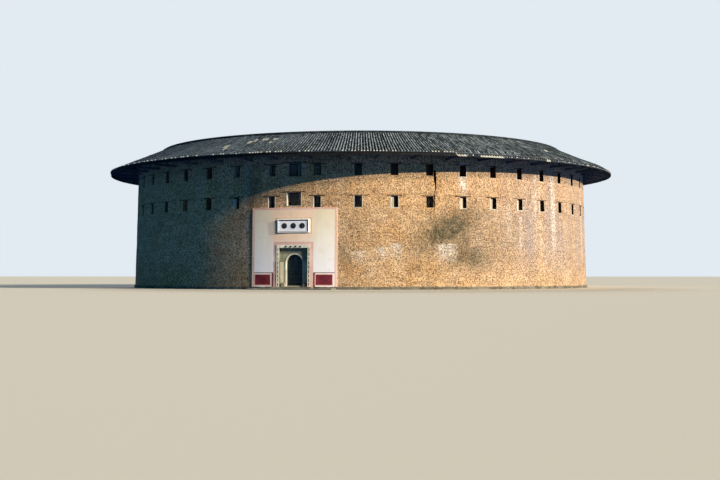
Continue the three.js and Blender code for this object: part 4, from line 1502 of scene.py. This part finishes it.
# The name board: a frame, a dark line inside it, wider on the right and over the top as painted shadow of the
# frame, and three plain rosettes
board = {
    "half": 1.72,
    "bottom": 6.01,
    "top": 7.42,
    "frame": 0.08,
    "reach": 0.12,
    # the inner line is wider on the right and over the top: painted shadow of the frame
    "lines": {"left": 0.035, "right": 0.12, "under": 0.05, "over": 0.12},
    "rosette": 0.3,
    "spacing": 0.98,
    "profile": [
        (1.0, 0.0), (0.98, 0.022), (0.86, 0.034), (0.74, 0.022),
        (0.62, 0.03), (0.36, 0.022), (0.3, 0.04), (0.12, 0.05),
    ],
}


# Four strips inside a rectangle: over, under, left and right
def frameBlocks(heap, sides, widths, front, back, **look):
    x0, x1, z0, z1 = sides
    low, high = z0 + widths["under"], z1 - widths["over"]
    x2, x3 = x0 + widths["left"], x1 - widths["right"]
    strips = [(x0, x1, high, z1), (x0, x1, z0, low), (x0, x2, low, high), (x3, x1, low, high)]
    for left, right, bottom, top in strips:
        block(heap, (left, front, bottom), (right, back, top), **look)


def makeNameBoard():
    heap = Heap()
    half, low, high, edge = board["half"], board["bottom"], board["top"], board["frame"]
    middle = (low + high) / 2
    face = -float(wallRadiusAt(middle)) - panel["proud"]
    back = face + 0.06
    block(heap, (-half + 0.02, face - 0.05, low + 0.02), (half - 0.02, back, high - 0.02), tint=0.5)
    frame = dict.fromkeys(board["lines"], edge)
    frameBlocks(heap, (-half, half, low, high), frame, face - board["reach"], back, tint=0.6)
    inside = (-half + edge, half - edge, low + edge, high - edge)
    frameBlocks(heap, inside, board["lines"], face - 0.056, face - 0.04, finish=1, tint=0.5)
    shape = [(board["rosette"] * radius, reach) for radius, reach in board["profile"]]
    for step in (-1, 0, 1):
        turned(heap, (step * board["spacing"], face - 0.05, middle), shape, sides=28, finish=1)
    makePiece("nameBoard", heap, [boardWhite, boardInk], ["name_board"], bevel=0.008)


# Points of an arched outline from its right foot over the crown to its left foot
def archOutline(half, spring, foot, steps=24):
    turn = np.linspace(0, math.pi, steps + 1)
    arc = np.stack([half * np.cos(turn), spring + half * np.sin(turn)], axis=1)
    right = np.stack([np.full(6, half), np.linspace(foot, spring, 7)[:-1]], axis=1)
    return np.concatenate([right, arc, right[::-1] * (-1, 1)])


# The same number of points round a rectangle that is open below
def squareOutline(half, top, foot, steps=24):
    side = np.linspace(foot, top, 7 + steps // 4)
    right = np.stack([np.full(len(side), half), side], axis=1)
    over = np.linspace(half, -half, steps // 2 + 1)[1:-1]
    lintel = np.stack([over, np.full(len(over), top)], axis=1)
    return np.concatenate([right, lintel, right[::-1] * (-1, 1)])


def makeGateArch():
    heap = Heap()
    half, foot, sill = gate["archHalf"], house["groundTop"], gate["sill"]
    arch = archOutline(half, gate["archSpring"], foot)
    square = squareOutline(gate["half"] - 0.01, gate["top"] - 0.01, foot)
    rebate = squareOutline(gate["rebateHalf"], gate["rebateTop"], foot)
    outlines = [
        (square, gate["recessBack"]), (arch, gate["recessBack"]), (arch, gate["archBack"]),
        (rebate, gate["archBack"]), (rebate, gate["passageBack"]), (square, gate["passageBack"]),
    ]
    corners = np.array([[(x, -depth, z) for x, z in outline] for outline, depth in outlines])
    faces = gridFaces(len(outlines), corners.shape[1], tube=True, flip=True)
    looks = np.zeros((len(outlines), corners.shape[1] - 1), int)
    # the arch's barrel and rebate take the darker grey-green stone, painted shade inside the arch; the back of
    # the recess above the springing is darker grey-green too
    looks[1:4] = 1
    looks[0, corners[0, :-1, 2] > gate["archSpring"] + 0.2] = 1
    heap.add(corners, faces, 0.5, looks)
    for side, front, back, tint in (
        (gate["rebateHalf"], gate["archBack"] + 0.02, gate["passageBack"], 0.4),
        (half, gate["recessBack"] + 0.03, gate["archBack"], 0.6),
    ):
        block(heap, (-side, -front, foot), (side, -back, sill), tint=tint)
    makePiece("gateBacking", heap, [recessStone, spandrelStone], ["gate_arch"], crease=30)


# Stones of the arch: three on each side and eleven over them
archBand = {
    "width": 0.12,
    "inset": 0.006,
    "joint": 0.004,
    "proud": 0.055,
    "depth": 0.255,
    "beds": [0.3, 1.1, 2.0],
    "voussoirs": 11,
}


def makeArchBand():
    heap = Heap()
    spring, joint, count = gate["archSpring"], archBand["joint"], archBand["voussoirs"]
    reach = gate["archHalf"] - archBand["inset"], gate["archHalf"] + archBand["width"]
    front = gate["recessBack"] + archBand["proud"]
    back = front - archBand["depth"]
    dice = np.random.default_rng(121)
    stones = []
    for side in (1, -1):
        for low, high in zip(archBand["beds"], archBand["beds"][1:] + [spring]):
            heights = (low + joint, high - joint)[::side]
            stones.append([[(side * x, z) for z in heights] for x in reach])
    for i in range(count):
        turn = np.linspace(i * math.pi / count + joint, (i + 1) * math.pi / count - joint, 4)
        stones.append([[(r * math.cos(a), spring + r * math.sin(a)) for a in turn] for r in reach])
    for near, far in stones:
        tint = dice.uniform(0.35, 1)
        loops = (near, front), (far, front), (far, back), (near, back)
        rows = [[(x, -y, z) for x, z in side] for side, y in loops]
        size = len(near)
        first = heap.add(rows, gridFaces(4, size, tube=True), tint)
        start = size * np.arange(4)
        heap.face(first, [start], tint)
        heap.face(first, [start[::-1] + size - 1], tint)
    makePiece("archBand", heap, [gateStone], ["gate_arch"], bevel=0.012)


# Jambs of three stones with a sunk dark strip, the lintel with its studs, and two foot stones
surround = {
    "joints": [0.3, 1.66, 3.03, 4.39],
    "strip": 0.075,
    "rung": 0.07,
    "sunk": 0.02,
    "studs": [-0.8, -0.27, 0.27, 0.8],
    "studHeight": 4.53,
    "studProfile": [(0.085, -0.01), (0.085, 0.03), (0.06, 0.055), (0.03, 0.065)],
    "feet": [  # sides, reach, foot, top and seed
        (1.0, 1.42, 0.36, 0.3, 0.58, 151), (1.06, 1.36, 0.3, 0.57, 0.74, 152),
    ],
}


def makeSurround():
    heap = Heap()
    face, back = -gate["front"], -gate["recessBack"] + 0.02
    inner, outer, top = gate["recessHalf"], gate["half"] - 0.004, gate["recessTop"]
    strip, rung = surround["strip"], surround["rung"]
    for side in (-1, 1):
        near, far = sorted((side * inner, side * outer))
        for i, (low, high) in enumerate(zip(surround["joints"], surround["joints"][1:])):
            front = face + house["batter"] * (low + high) / 2 - 0.02
            low, high = low + 0.003, high - 0.003
            block(heap, (near, front + surround["sunk"], low), (far, back, high), seed=131 + i, finish=1)
            strips = [(near, near + strip, low, high), (far - strip, far, low, high)]
            for middle in np.linspace(low, high, 4):
                strips.append((near + strip, far - strip, max(low, middle - rung), min(high, middle + rung)))
            for x0, x1, z0, z1 in strips:
                block(heap, (x0, front, z0), (x1, front + 0.03, z1), seed=131 + i)
    face += house["batter"] * gate["top"] - 0.03
    block(heap, (-outer, face, top + 0.003), (outer, back, gate["top"] - 0.004), seed=141)
    makePiece("gateSurround", heap, [gateStone, darkStone], ["gate_surround"], bevel=0.008)
    studs = Heap()
    for x in surround["studs"]:
        turned(studs, (x, face, surround["studHeight"]), surround["studProfile"])
    makePiece("lintelStuds", studs, [boardInk])
    feet = Heap()
    for side in (-1, 1):
        for near, far, reach, low, high, seed in surround["feet"]:
            behind = -gate["recessBack"]
            block(feet, (side * near, behind - reach, low), (side * far, behind, high), seed=seed)
    makePiece("footStones", feet, [rubbleStone], bevel=0.025)


def hoop(heap, centre, radius, thick, finish=0):
    turn = 2 * math.pi * np.arange(24) / 24
    roll = 2 * math.pi * np.arange(8)[:, None] / 8
    reach = radius + thick * np.cos(roll)
    x = centre[0] + reach * np.sin(turn)
    z = centre[2] + reach * np.cos(turn)
    y = centre[1] + thick * np.sin(roll) + 0 * turn
    heap.add(np.stack([x, y, z], axis=-1), gridFaces(8, 24, ring=True, tube=True), 0.5, finish)


# The door leaves: planks, ledges behind, straps and a ring handle in front
leaf = {
    "near": 0.007,
    "far": 1.06,
    "planks": 5,
    "gap": 0.002,
    "thickness": 0.096,
    "ledges": [0.9, 2.2, 3.4],
    "straps": [0.62, 3.72],
    "handle": (0.14, 1.75),
    "boss": [(0.08, -0.005), (0.08, 0.008), (0.045, 0.028), (0.02, 0.032)],
}


def makeLeaves():
    low, high = gate["sill"] + 0.013, gate["rebateTop"] - 0.017
    face = -gate["archBack"] + 0.014
    back = face + leaf["thickness"]
    edges = np.linspace(leaf["near"], leaf["far"], leaf["planks"] + 1)
    for side, name in ((-1, "left"), (1, "right")):
        heap = Heap()
        for i, (near, far) in enumerate(zip(edges + leaf["gap"], edges[1:] - leaf["gap"])):
            block(heap, (side * near, face, low), (side * far, back, high), seed=161 + i)
        for z in leaf["ledges"]:
            block(heap, (side * 0.04, back - 0.01, z), (side * 1.0, back + 0.022, z + 0.16), seed=171)
        for z in leaf["straps"]:
            block(heap, (side * 0.03, face - 0.006, z), (side * 1.02, face + 0.01, z + 0.07), finish=1, seed=172)
        x, z = side * leaf["handle"][0], leaf["handle"][1]
        turned(heap, (x, face, z), leaf["boss"], finish=1)
        hoop(heap, (x, face - 0.03, z - 0.09), 0.075, 0.011, finish=1)
        nodes, body = [f"gate_leaf_{name}"], f"{name}_leaf"
        makePiece(f"{name}LeafPlanks", heap, [gateWood, boardInk], nodes, body, bevel=0.006)


# Steps of paving slabs: half width, front, rows, foot, top, slabs in the first row
stepRows = [(4.6, 30.1, 2, 0.0, 0.15, 9), (2.2, 29.45, 1, 0.14, 0.3, 4)]


def makeSteps():
    heap = Heap()
    dice = np.random.default_rng(181)
    for half, front, rows, foot, top, count in stepRows:
        ys = np.linspace(-front, -28.32, rows + 1)
        for i, (y0, y1) in enumerate(zip(ys + 0.005, ys[1:] - 0.005)):
            xs = np.linspace(-half, half, count + i + 1)
            xs[1:-1] += dice.uniform(-0.1, 0.1, len(xs) - 2)
            for j, (x0, x1) in enumerate(zip(xs + 0.005, xs[1:] - 0.005)):
                block(heap, (x0, y0, foot), (x1, y1, top), seed=191 + 20 * i + j)
    makePiece("gateSteps", heap, [pavingStone], ["gate_steps"], bevel=0.02)


makePanel()
makeNameBoard()
makeGateArch()
makeArchBand()
makeSurround()
makeLeaves()
makeSteps()
print("gate made")


# Lamps, with the pieces that a lamp lights alone or leaves out
def makeLamps():
    for name, lamp in lamps.items():
        seat = makeLamp(name, lamp)
        pieces = lamp.get("only") or lamp.get("without")
        if not pieces:
            continue
        linked = bpy.data.collections.new(name + "Pieces")
        for piece in pieces:
            linked.objects.link(bpy.data.objects[piece])
        if "without" in lamp:
            for member in linked.collection_objects:
                member.light_linking.link_state = "EXCLUDE"
        seat.light_linking.receiver_collection = linked


def makeStage():
    world = bpy.data.worlds.new("studio")
    world.use_nodes = True
    world.node_tree.nodes.clear()
    nodes = Nodes(world.node_tree)
    sky = nodes.add("Background", {"Color": tone(*stage["sky"]), "Strength": 1.0})[0]
    rise = nodes.add("SeparateXYZ", {"Vector": nodes.add("TexCoord")["Generated"]})["Z"]
    power = nodes.spread(rise, 0.1, 0.6, stage["lowFill"], stage["highFill"])
    fill = nodes.add("Background", {"Color": tone(*stage["fill"]), "Strength": power})[0]
    seen = nodes.add("LightPath")["Is Camera Ray"]
    nodes.add("OutputWorld", {"Surface": nodes.add("MixShader", {0: seen, 1: fill, 2: sky})[0]})
    bpy.context.scene.world = world
    mesh = bpy.data.meshes.new("floor")
    half = stage["half"]
    corners = [(-half, -half, 0), (half, -half, 0), (half, half, 0), (-half, half, 0)]
    mesh.from_pydata(corners, [], [(0, 1, 2, 3)])
    floor = bpy.data.objects.new("floor", mesh)
    bpy.context.scene.collection.objects.link(floor)
    pale = Finish("paleFloor")
    looked = pale.add("LightPath")["Is Camera Ray"]
    sockets = pale.tree.nodes["Principled BSDF"].inputs
    pale.feed(sockets["Base Color"], pale.mix(looked, tone(*stage["floorBounce"]), tone(*stage["floorTone"])))
    sockets["Roughness"].default_value = 0.95
    mesh.materials.append(pale.material)
    bpy.context.scene.view_settings.view_transform = "Standard"


makeCamera()
makeLamps()
makeStage()
print("stage made")
